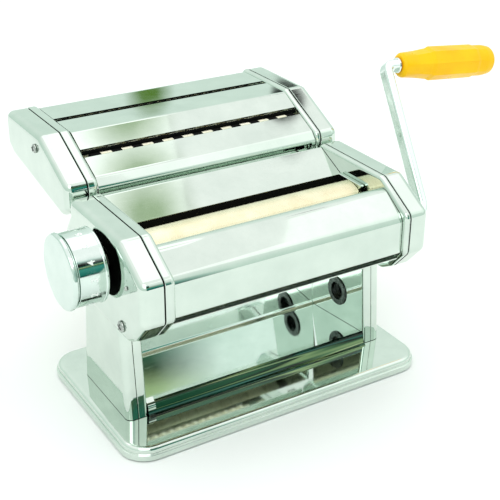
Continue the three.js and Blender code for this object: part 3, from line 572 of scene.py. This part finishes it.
# One sheet makes the floor and the rear panel. A dark strip over its front edge carries painted shade and
# painted reflection bands, and its corner is folded in beside the left leg.
def makeTray():
    s = tray
    x0, x1, deck = trayLow[0], trayHigh[0], trayLow[2]
    front, frontZ = s["front"], s["frontZ"]
    path = [(s["rear"], trayHigh[2]), (s["rear"], s["rearZ"]), (front + 0.6, frontZ)]
    sheet = sheetMesh(path, s["thickness"], x0, x1, [1, s["bend"], 1], 13)
    addPiece("tray", [sheet], trayLitChrome, "machine", ["tray"])
    # The front strip is painted shade and painted reflection: a dark sheet with reflection bands over the
    # deck between the legs.
    path = [(front + 1.4, frontZ + 0.1), (front - 1.2, frontZ - 0.2), (front - 2.4, deck + 0.6),
            (front - 5, deck)]
    strip = sheetMesh(path, s["strip"], x0, x1, [1, 1.6, 1.6, 1], 13)
    addPiece("trayFrontShadeStrip", [strip], reflectionBandGreen, "machine")
    path = [(front - 1.2, 10), (front - 1.4, 14.4), (front + 2.5, 18)]
    tab = sheetMesh(path, s["tab"], x0, x0 + s["tabWidth"], 2)
    addPiece("trayCornerFold", [tab], wavyChrome, "machine")


makeTray()

# ---- roller housing ----
housing = {
    "outline": [(29, 132), (-38.4, 132), (-65.7, 115.8), (-65.7, 90.5), (-53.2, 76.5), (-44.2, 71.5),
                (28.5, 71.5), (37.5, 81.5), (37.5, 111), (29, 122.5)],
    "corner": 6, "round": 4.8, "wall": 1.2, "plateRound": 2.4, "bearingHole": 7.2, "knobHole": 7.4,
    "driveHole": 6.6}
knobAxis = {"y": -14, "z": 109}
driveAxis = {"y": -37, "z": 97}
frontAxis = {"y": -14.3, "z": 106.4}
rearAxis = {"y": 16.5, "z": 106.4}


# A cover at one end of the machine, with a dark band of painted shade in the seam between it and its plate.
def addCover(name, seamShadeName, node, sign, s, body, hole=None):
    edge = seamX + seamGap
    cover = panMesh(s["outline"], sign * coverFace, sign * edge, s["wall"], s["round"], s["corner"], hole)
    addPiece(name, [cover], chrome, body, [node])
    seam = seamMesh(s["outline"], sign * (seamX - seamTuck), sign * (edge + seamTuck), s["corner"])
    addPiece(seamShadeName, [seam], shadeBlack, body)


def makeHousing():
    s = housing
    bearing = (frontAxis["y"], frontAxis["z"], s["bearingHole"])
    for side, sign, inside, axis, radius in (("left", -1, leftInside, knobAxis, s["knobHole"]),
                                             ("right", 1, rightInside, driveAxis, s["driveHole"])):
        plate = panMesh(s["outline"], inside, sign * seamX, s["wall"], s["plateRound"], s["corner"], bearing)
        addPiece(side + "SidePlate", [plate], chrome, "machine", [side + "_side_plate"])
        hole = (axis["y"], axis["z"], radius)
        addCover(side + "EndCover", side + "CoverSeamShade", side + "_end_cover", sign, s, "machine", hole)


makeHousing()

frontCover = {"inner": (-26.2, 119.2), "crest": (-43, 126.6), "bend": (-62.3, 113.4), "foot": (-62.5, 90.5),
              "lip": (-58.7, 87.3), "thickness": 1.0}
hopper = {"back": 26.4, "high": 131.2, "lip": (1.8, 119.6), "strip": [(2.0, 118.9), (1.7, 113.2)]}
backBend = 111
guide = {"outline": [(0.3, 121.2), (-24.2, 121.2), (-20.3, 115), (5.7, 115)], "corner": 1.0, "chamfer": 0.4}


def makeCovers():
    x0, x1 = leftInside + sheetGap, rightInside - sheetGap
    s = frontCover
    path = [s["inner"], s["crest"], s["bend"], s["foot"], s["lip"]]
    cover = sheetMesh(path, s["thickness"], x0, x1, [1, 8, 9, 1.6, 1], 15)
    addPiece("frontCover", [cover], wavyChrome, "machine", ["front_cover"])
    low = nodeBox("hopper_plate")[0]
    path = [(hopper["back"], low[2] + 3), (hopper["back"], hopper["high"]), hopper["lip"]]
    plate = sheetMesh(path, 1.0, x0, x1, [1, 1.6, 1])
    addPiece("hopperPlate", [plate], wavyChrome, "machine", ["hopper_plate"])
    # The black strip under the hopper's lip is painted shade: it stands for the dark gap between the rollers.
    strip = sheetMesh(hopper["strip"], 0.5, x0 + 1, x1 - 1, 1)
    addPiece("hopperLipShade", [strip], shadeBlack, "machine")
    low, high = nodeBox("back_cover")
    path = [(high[1], low[2]), (high[1], backBend), (low[1] + 1, high[2] - 0.4)]
    addPiece("backCover", [sheetMesh(path, 1.0, x0, x1, 2)], wavyChrome, "machine", ["back_cover"])


def makeGuides():
    s = guide
    for side in ("left", "right"):
        node = side + "_dough_guide"
        low, high = nodeBox(node)
        ends = ((low[0], s["chamfer"]), (low[0] + s["chamfer"], 0), (high[0] - s["chamfer"], 0),
                (high[0], s["chamfer"]))
        rows = [ringAt(x, filleted(insetOutline(s["outline"], inward), s["corner"], 5)) for x, inward in ends]
        addPiece(side + "DoughGuide", [skinMesh(rows)], chrome, "machine", [node])


makeCovers()
makeGuides()
print("body made")

# ---- rollers ----
roller = {"radius": 14.5, "left": -74.5, "right": 76, "journal": 5, "chamfer": 0.8, "sides": 128}


def makeRoller(name, axis, body, node):
    s = roller
    low, high = nodeBox(node)
    left, right, r, neck = s["left"], s["right"], s["radius"], s["journal"]
    profile = [(low[0], neck - 0.6), (low[0] + 0.6, neck), (left, neck), (left, r - s["chamfer"]),
               (left + s["chamfer"], r), (right - s["chamfer"], r), (right, r - s["chamfer"]), (right, neck),
               (high[0] - 0.6, neck), (high[0], neck - 0.6)]
    mesh = turnedMesh(profile, onAxis(axis["y"], axis["z"]), s["sides"], 0.3)
    addPiece(name, [mesh], rollerSteel, body, [node])


makeRoller("frontRoller", frontAxis, "front_roller_body", "front_roller")
makeRoller("rearRoller", rearAxis, "rear_roller_body", "rear_roller")

# ---- screws ----
screw = {"shank": 1.6, "length": 5, "height": 1.7, "turn": 0.3, "arm": 0.35}
coverScrews = {"leftCoverScrewFront": (-1, -39, 80, "left_cover_screw_1"),
               "leftCoverScrewRear": (-1, 24, 90, "left_cover_screw_2"),
               "rightCoverScrew": (1, 18, 84, "right_cover_screw_1")}


# A pan-head screw on a cover: a low dome, with dark arms across its top that are painted shade for the cross
# recess.
def makeScrew(name, sign, y, z, body, nodes=(), slot=None, head=3.6):
    s = screw
    x, height = sign * (coverFace + 0.1), s["height"]
    profile = [(x - sign * s["length"], s["shank"]), (x, s["shank"]), (x, head),
               (x + sign * height * 0.55, head * 0.92), (x + sign * height * 0.9, head * 0.6),
               (x + sign * height, head * 0.25)]
    addPiece(name, [turnedMesh(profile, onAxis(y, z), 40, 0.5)], zinc, body, nodes)
    arms = []
    for turn in (s["turn"], s["turn"] + math.pi / 2):
        place = Matrix.Translation((x + sign * (height - 0.25), y, z)) @ Matrix.Rotation(turn, 4, "X")
        reach = head * 0.58
        arms.append(blockMesh((-s["arm"], -reach, -0.34), (s["arm"], reach, 0.34), 0.1, place, 3))
    addPiece(name + "CrossShade", arms, recessShadeBlack, body)


for name, (sign, y, z, node) in coverScrews.items():
    makeScrew(name, sign, y, z, "machine", [node])

# ---- knob ----
dialHigh = nodeBox("gauge_knob")[1]
capLow, capHigh = nodeBox("knob_cap")
dial = {"radius": 21.6, "rim": 22.5, "wall": 5, "bore": 5.4, "numerals": 10, "first": 3, "firstAngle": 175,
        "step": 26, "size": 5.6, "raised": 0.25, "bold": 0.12}


# Shallow scallops round the cap: radius falls by a small cosine power between the ribs.
def scallops(angle, along):
    return 1 - 0.012 * (0.5 - 0.5 * np.cos(10 * angle)) ** 3


def makeKnob():
    s = dial
    place = onAxis(knobAxis["y"], knobAxis["z"])
    near, far, r = dialHigh[0], capHigh[0], s["radius"]
    well = [(far + 8, s["bore"]), (far + 8, r - s["wall"]), (near - 0.4, r - s["wall"]), (near, r - 4.4)]
    barrel = [(near, r - 1.2), (near - 1.2, r + 0.3), (near - 2.2, r + 0.3), (near - 2.8, r - 0.1),
              (far + 1.2, r - 0.1), (far + 1, r - 1.4), (far + 0.4, r - 1.4), (far + 0.4, s["bore"])]
    line = filleted(np.array(well + barrel), 0.35, 4)
    rows = turnedRows(line, knobAxis["y"], knobAxis["z"], 120)
    addPiece("gaugeKnob", [skinMesh(rows, joined=True)], knobChrome, "knob", ["gauge_knob"])
    # The black disc behind the dial is painted shade: it closes the dial's hollow back, which the cover's
    # chrome reflects as dark.
    back = turnedMesh([(near - 0.8, r - 1.4), (near + 0.2, r - 1.6), (near + 0.3, 9.6)], place, 96, 0.1, 3)
    addPiece("knobBackShadeDisc", [back], shadeBlack, "knob")
    x, rim = capLow[0], s["rim"]
    profile = [(far, 3), (far, rim - 0.9), (far - 0.6, rim), (x, rim - 0.6), (x, 3)]
    cap = turnedMesh(profile, place, 160, [1, 0.4, 0.5, 2.6, 1], 9, scallops)
    addPiece("knobCap", [cap], knobChrome, "knob", ["knob_cap"])


# Numerals stand round the dial with their tops towards the cap, read from the front.
def makeNumerals():
    s = dial
    for i in range(s["numerals"]):
        curve = bpy.data.curves.new("numeral", "FONT")
        curve.body = str(i)
        curve.size = s["size"] * mm
        curve.extrude = s["raised"] * mm / 2
        curve.offset = s["bold"] * mm
        curve.align_x = curve.align_y = "CENTER"
        holder = bpy.data.objects.new("numeral", curve)
        bpy.context.scene.collection.objects.link(holder)
        bpy.context.view_layer.update()
        mesh = bpy.data.meshes.new_from_object(holder)
        bpy.data.objects.remove(holder)
        # across the numeral runs round the dial, its height runs along -X
        angle = math.radians(s["firstAngle"] - (i - s["first"]) * s["step"])
        radial = Vector((0, math.cos(angle), math.sin(angle)))
        up = Vector((-1, 0, 0))
        across = up.cross(radial)
        turn = Matrix((across, up, radial)).transposed().to_4x4()
        middle = Vector(((dialHigh[0] + capHigh[0]) / 2, knobAxis["y"], knobAxis["z"]))
        middle += radial * s["radius"]
        mesh.transform(Matrix.Translation(middle * mm) @ turn)
        mesh.materials.clear()
        mesh.materials.append(whiteMark)
        piece = bpy.data.objects.new(f"dialNumeral{i}", mesh)
        bpy.context.scene.collection.objects.link(piece)
        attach(piece, "knob")


makeKnob()
makeNumerals()

# ---- crank ----
crank = {"standOff": 20.7, "reach": 102, "turn": 37.5, "lean": 5.9, "thick": 6, "width": 9.4, "corner": 2.0,
         "bend": 9, "key": 3.2, "spindle": 2.9, "start": 10.5, "length": 77, "radius": 11.7}
lean = math.radians(crank["lean"])
hubPlace = Matrix.Translation((coverFace, driveAxis["y"], driveAxis["z"]))
crankPlace = hubPlace @ Matrix.Rotation(-math.radians(crank["turn"]), 4, "X")
armEnd = np.array([crank["standOff"] + crank["reach"] * math.sin(lean), crank["reach"] * math.cos(lean)])
gripDirection = np.array([math.cos(lean), -math.sin(lean)])
gripPlace = crankPlace @ Matrix.Translation((armEnd[0], 0, armEnd[1])) @ Matrix.Rotation(lean, 4, "Y")


# The bar: a rounded-rectangle section carried along the bent centre line in the crank's own plane.
def makeCrank():
    s = crank
    path = [(1.5, 0), (s["standOff"], 0), tuple(armEnd), tuple(armEnd + gripDirection * (s["start"] - 1))]
    line = filleted(path, s["bend"], 12, loop=False)
    ahead = np.gradient(line, axis=0)
    ahead /= np.linalg.norm(ahead, axis=1)[:, None]
    side = np.stack([-ahead[:, 1], ahead[:, 0]], 1)
    t, w = s["thick"] / 2, s["width"] / 2
    section = filleted(np.array([[-t, -w], [t, -w], [t, w], [-t, w]]), s["corner"], 6)
    inPlane = line[:, None] + side[:, None] * section[None, :, :1]
    across = np.broadcast_to(section[:, 1], inPlane.shape[:2])
    rows = np.stack([inPlane[..., 0], across, inPlane[..., 1], np.ones(inPlane.shape[:2])], 2)
    bar = skinMesh((rows @ np.array(crankPlace).T)[..., :3])
    hub = turnedMesh([(1.2, 5), (1.2, 6.8), (4.6, 6.8), (6.4, 5.6), (7.4, 4)], hubPlace, 56, 0.5)
    key = blockMesh((-15.4, -s["key"], -s["key"]), (3, s["key"], s["key"]), 0.4, hubPlace, 3)
    start, end = s["start"], s["start"] + s["length"]
    spindle = turnedMesh([(start - 2.5, s["spindle"]), (end - 5, s["spindle"])], gripPlace, 32, 0.2)
    collar = [(start - 1.6, 3.2), (start - 1.6, 5), (start - 0.4, 5.2), (start - 0.2, 3.2)]
    parts = [bar, hub, key, spindle, turnedMesh(collar, gripPlace, 40, 0.25)]
    addPiece("crankArm", parts, tubeChrome, "crank", ["crank_arm"])


# Eight flats in the middle of the grip fade to round at its ends.
def gripFlats(angle, along):
    s, e = crank["start"], crank["start"] + crank["length"]
    fade = np.clip((along - s - 5) / 8, 0, 1) * np.clip((e - 6 - along) / 9, 0, 1)
    step = math.pi / 4
    flat = math.cos(step / 2) / np.cos((angle + step / 2) % step - step / 2)
    return 1 + fade * (flat - 1.035) * 0.9


def makeGrip():
    s, r, e = crank["start"], crank["radius"], crank["start"] + crank["length"]
    profile = [(s + 0.6, 3.7), (s + 0.6, r * 0.56), (s + 2.4, r * 0.7), (s + 12, r * 0.78), (s + 22, r * 0.9),
               (s + 24.5, r), (s + 60, r * 0.985), (s + 62.5, r * 0.92), (e - 8, r * 0.9), (e - 2.4, r * 0.8),
               (e - 0.2, r * 0.6), (e, r * 0.2)]
    radii = [0.4, 0.8, 1.5, 8, 1.6, 1.6, 1.4, 1.4, 6, 4, 2, 1]
    grip = turnedMesh(profile, gripPlace, 128, radii, 7, gripFlats)
    addPiece("crankGrip", [grip], gripYellow, "grip", ["crank_grip"])
    ring = turnedMesh([(s + 0.2, 3.1), (s + 0.2, 4.6), (s + 0.9, 4.7)], gripPlace, 48, 0.15)
    addPiece("gripBore", [ring], boreOrange, "grip")


makeCrank()
makeGrip()
print("knob and crank made")

# ---- cutter ----
cutterTop, ridge, brow = 156.8, 70, (32, 138.1)
cutter = {
    "outline": [(127, cutterTop), (ridge, cutterTop), brow, (30.5, 134.7), (30.5, 121), (42, 114.6),
                (118, 128), (127, 134)],
    "corner": 6, "round": 4.8, "wall": 1.2, "plateCorner": 5, "plateRound": 2.4, "tongue": (39.7, 50.5),
    "tongueTop": 119, "screw": (76, 147), "screwHead": 3.0, "drop": 1.4, "sheet": 1.0, "slot": 52.6,
    "half": 3.1, "rearSlot": 94.5, "rearHalf": 2.8}
slope = math.atan2(cutterTop - brow[1], ridge - brow[0])


def onSlope(y, depth):
    z = cutterTop - (ridge - y) * math.tan(slope) - depth * math.cos(slope)
    return (y + depth * math.sin(slope), z)


def makeCutterBody():
    s = cutter
    for side, sign, inside in (("Left", -1, leftInside), ("Right", 1, rightInside)):
        node = "cutter_" + side.lower()
        plate = panMesh(s["outline"], inside, sign * seamX, s["wall"], s["plateRound"], s["plateCorner"])
        x0, x1 = sorted((inside, inside + sign * s["wall"]))
        bottom = nodeBox(node + "_plate")[0][2]
        (y0, y1), top = s["tongue"], s["tongueTop"]
        tongue = blockMesh((x0, y0, bottom), (x1, y1, top), 0.4, None, 3)
        addPiece("cutter" + side + "Plate", [plate, tongue], chrome, "cutter", [node + "_plate"])
        addCover("cutter" + side + "Cover", "cutter" + side + "Seam", node + "_cover", sign, s, "cutter")
        name, slot = "cutter" + side + "Screw", node + "_cover"
        makeScrew(name, sign, *s["screw"], "cutter", slot=slot, head=s["screwHead"])


def makeGuards():
    s = cutter
    x0, x1 = leftInside + sheetGap, rightInside - sheetGap
    depth = s["drop"] + s["sheet"]
    top = cutterTop - depth
    front = [(32.3, 124), (32.3, 132.7), onSlope(35, depth), onSlope(s["slot"] - s["half"], depth)]
    middle = [onSlope(s["slot"] + s["half"], depth), (69.4, top), (s["rearSlot"] - s["rearHalf"], top)]
    rear = [(s["rearSlot"] + s["rearHalf"], top), (124.6, top), (124.6, 136)]
    for name, path, radius in (("Front", front, [1, 2, 3.5, 1]), ("Middle", middle, 2.5), ("Rear", rear, 4)):
        sheet = sheetMesh(path, s["sheet"], x0, x1, radius)
        node = "cutter_" + name.lower() + "_guard"
        addPiece("cutter" + name + "Guard", [sheet], wavyChrome, "cutter", [node])


cutting = {"first": -71.9, "last": 75.2, "sides": 60, "chamfer": 0.25, "shaft": 4,
           "wide": {"radius": 10.9, "groove": 6.6, "pitch": 14.1},
           "narrow": {"radius": 8.6, "groove": 7.0, "pitch": 7.05}}


# A grooved roller: the profile steps between disc and groove radius once a pitch.
def makeCuttingRoller(name, node, body, axis, size, shifted):
    s = cutting
    low, high = nodeBox(node)
    first, last, chamfer = s["first"], s["last"], s["chamfer"]
    radius, groove, pitch = size["radius"], size["groove"], size["pitch"]
    points = [(low[0], s["shaft"] - 0.4), (first, s["shaft"]), (first, groove)]
    start = first + (pitch / 2 if shifted else 0)
    for i in range(int((last - first) / pitch)):
        a, b = start + i * pitch + chamfer, start + i * pitch + pitch / 2 - chamfer
        points += [(a, groove), (a, radius), (b, radius), (b, groove)]
    points += [(last, groove), (last, s["shaft"]), (high[0], s["shaft"])]
    rows = turnedRows(np.array(points), *axis, s["sides"])
    addPiece(name, [skinMesh(rows)], cutterLitSteel, body, [node])


def makeCuttingRollers():
    for width, end, shifted in (("wide", "front", True), ("wide", "rear", False),
                                ("narrow", "front", False), ("narrow", "rear", True)):
        node, body = f"{width}_cutter_{end}", f"{width}_{end}"
        joint = next(j for j in frame["joints"] if j["child"] == body)
        axis = (joint["pos_m"][1] / mm, joint["pos_m"][2] / mm)
        makeCuttingRoller(body + "Roller", node, body, axis, cutting[width], shifted)


slotShade = {"count": 11, "half": 3.5, "front": 50.6, "rear": 54.9, "bottom": 128, "top": 145.8, "toothRear": 53.2,
        "toothBottom": 143.7, "overlap": 0.1, "inset": 0.6}
narrowSlotShade = {"opening": 0.9, "bottom": 152.4, "top": 154.0}


# Two black strips below the narrow slot, painted shade for its dark inside, leave a thin opening between
# them.
def makeNarrowComb(left, right):
    s = narrowSlotShade
    for name, sign in (("narrowSlotShadeFront", -1), ("narrowSlotShadeRear", 1)):
        reach = cutter["rearHalf"] + slotShade["inset"]
        y0, y1 = sorted((cutter["rearSlot"] + sign * s["opening"], cutter["rearSlot"] + sign * reach))
        strip = blockMesh((left, y0, s["bottom"]), (right, y1, s["top"]), 0.2, None, 3)
        addPiece(name, [strip], shadeBlack, "cutter")


# Painted shade and painted light in the wide slot: black fingers with lightened steel teeth between them,
# over the front roller's discs, a bar across the fingers' feet and a black strip along the slot's rear edge.
# The black stands for the shade between and behind the discs, the teeth for their lit tops.
def makeComb():
    s, pitch = slotShade, cutting["wide"]["pitch"]
    left, right = leftInside + s["inset"], rightInside - s["inset"]
    shadeFingers = [blockMesh((left, 51.2, 118.6), (right, 54.8, 121.4), 0.3, None, 3),
               blockMesh((left, 54.3, 145.2), (right, 55.1, 147.8), 0.2, None, 3)]
    litTeeth = []
    for i in range(s["count"]):
        x = cutting["first"] + s["half"] + i * pitch
        low = (x - s["half"], s["front"], s["bottom"])
        high = (min(x + s["half"], right), s["rear"], s["top"])
        shadeFingers.append(blockMesh(low, high, 0.2, None, 3))
        if x + pitch / 2 + s["half"] < right:
            low = (x + s["half"] - s["overlap"], s["front"], s["toothBottom"])
            high = (x + pitch - s["half"] + s["overlap"], s["toothRear"], s["top"])
            litTeeth.append(blockMesh(low, high, 0.2, None, 3))
    makeNarrowComb(left, right)
    addPiece("wideSlotShade", shadeFingers, shadeBlack, "cutter")
    addPiece("wideSlotLitTeeth", litTeeth, cutterLitSteel, "cutter")


makeCutterBody()
makeComb()
makeGuards()
makeCuttingRollers()
print("cutter made")

# ---- finishes for the CAD nodes that stay ----
carried = {
    rubber: ["foot_front_left", "foot_front_right", "foot_rear_left", "foot_rear_right"],
    zinc: ["tie_rod_front", "tie_rod_rear", "drive_shaft", "left_bearing_block", "right_bearing_block",
           "gap_yoke", "knob_shaft", "knob_spring", "index_mark", "left_cutter_rail", "right_cutter_rail"],
    gearSteel: ["front_roller_gear", "rear_roller_gear", "crank_gear", "front_roller_drive_gear"],
    scraperChrome: ["front_scraper", "rear_scraper"],
    nylon: ["left_roller_bush", "right_roller_bush", "knob_bush"],
}
for material, names in carried.items():
    for name in names:
        node = frame["nodes"][name]
        node.data.materials.clear()
        node.data.materials.append(material)

# ---- studio ----
studio = {"floor": 6.0, "cameraPlace": (-0.3066, -0.512, 0.3848), "target": (0.01249, 0.00414, 0.08069),
          "lens": 77.16, "roll": 0.444, "lampTarget": (0, 0, 0.08),
          "lamps": {"keyLight": ((-0.9, -1.2, 1.5), 1.3, 8), "fillLight": ((1.3, -0.6, 1.2), 1.4, 1.5),
                    "topLight": ((0.0, 0.5, 1.8), 1.6, 3)}}

# Colours of the room by height (the sine of the elevation): all round, and in the dark front. A
# patch has a direction, an inner and an outer radius, and a colour.
room = {
    "all": [(0.0, "#CFE0D8"), (0.12, "#D3E3DB"), (0.35, "#DAE8E1"), (0.6, "#EAF2EE"), (0.78, "#FFFFFF")],
    "front": [(0.0, "#12433E"), (0.06, "#1E6A60"), (0.3, "#3C8A7E"), (0.36, "#2F6A52"), (0.385, "#0A1A12"),
              (0.4, "#A9BC8B"), (0.418, "#9DB584"), (0.425, "#08120D"), (0.44, "#3B8272"), (0.46, "#07100C"),
              (0.53, "#050A08"), (0.6, "#0E2C27"), (0.635, "#4A968A"), (0.76, "#FFFFFF")],
    "frontAxis": (0.139, -0.99, 0.0), "frontEdge": (0.944, 0.964),
    "patches": [((0.395, 0.2, 0.897), 0.012, 0.05, "#557A2A"),
                ((0.523, 0.227, 0.821), 0.016, 0.022, "#060B08"),
                ((0.527, 0.791, 0.314), 0.011, 0.016, "#060B08"),
                ((0.417, 0.853, 0.313), 0.008, 0.024, "#557A2A")],
    "strength": 1.22}


# A white room with one dark end in front of the machine, which the chrome picks up. Seen straight
# on, the room is plain white.
def makeRoom():
    world = bpy.data.worlds.new("studio")
    bpy.context.scene.world = world
    world.use_nodes = True
    tree = world.node_tree
    background = next(n for n in tree.nodes if n.type == "BACKGROUND")
    direction = addNode(tree, "ShaderNodeTexCoord").outputs["Generated"]
    height = addNode(tree, "ShaderNodeSeparateXYZ", links={"Vector": direction}).outputs["Z"]
    level = addNode(tree, "ShaderNodeVectorMath", {"operation": "MULTIPLY", 1: (1, 1, 0)}, {0: direction})
    level = addNode(tree, "ShaderNodeVectorMath", {"operation": "NORMALIZE"}, {0: level.outputs[0]})
    settings = {"operation": "DOT_PRODUCT", 1: room["frontAxis"]}
    ahead = addNode(tree, "ShaderNodeVectorMath", settings, {0: level.outputs[0]})
    front = ranged(tree, ahead.outputs["Value"], 0, 1, *room["frontEdge"])
    allRound = colourRamp(tree, height, room["all"])
    colour = blended(tree, front, allRound, colourRamp(tree, height, room["front"]))
    for centre, inner, outer, shade in room["patches"]:
        away = addNode(tree, "ShaderNodeVectorMath", {"operation": "DISTANCE", 1: centre}, {0: direction})
        colour = blended(tree, ranged(tree, away.outputs["Value"], 1, 0, inner, outer), colour, shade)
    seen = addNode(tree, "ShaderNodeLightPath").outputs["Is Camera Ray"]
    tree.links.new(blended(tree, seen, colour, "#FFFFFF"), background.inputs["Color"])
    background.inputs["Strength"].default_value = room["strength"]


def makeStudio():
    s = studio
    half = s["floor"] / 2
    mesh = bpy.data.meshes.new("floor")
    corners = [(-half, -half, 0), (half, -half, 0), (half, half, 0), (-half, half, 0)]
    mesh.from_pydata(corners, [], [(0, 1, 2, 3)])
    material, tree, shader, place = startMaterial("pale studio floor", {"IOR": 1.3, "Roughness": 0.9})
    cloud = ranged(tree, noise(tree, place, 400, 2), 0, 1)
    tree.links.new(blended(tree, cloud, "#FBFCFB", "#F7F9F8"), shader.inputs["Base Color"])
    mesh.materials.append(material)
    floor = bpy.data.objects.new("floor", mesh)
    bpy.context.scene.collection.objects.link(floor)

    makeRoom()
    for name, (place, size, power) in s["lamps"].items():
        data = bpy.data.lights.new(name, "AREA")
        data.size = size
        data.energy = power
        lamp = bpy.data.objects.new(name, data)
        lamp.location = place
        aim = Vector(s["lampTarget"]) - Vector(place)
        lamp.rotation_euler = aim.to_track_quat("-Z", "Y").to_euler()
        bpy.context.scene.collection.objects.link(lamp)

    data = bpy.data.cameras.new("camera")
    data.lens = s["lens"]
    data.sensor_width = 36
    data.clip_start = 0.01
    camera = bpy.data.objects.new("camera", data)
    eye, target = Vector(s["cameraPlace"]), Vector(s["target"])
    turn = (target - eye).to_track_quat("-Z", "Y") @ Quaternion((0, 0, 1), math.radians(s["roll"]))
    camera.location = eye
    camera.rotation_euler = turn.to_euler()
    bpy.context.scene.collection.objects.link(camera)
    bpy.context.scene.camera = camera
    bpy.context.scene.view_settings.view_transform = "Standard"


makeStudio()
print("studio made")
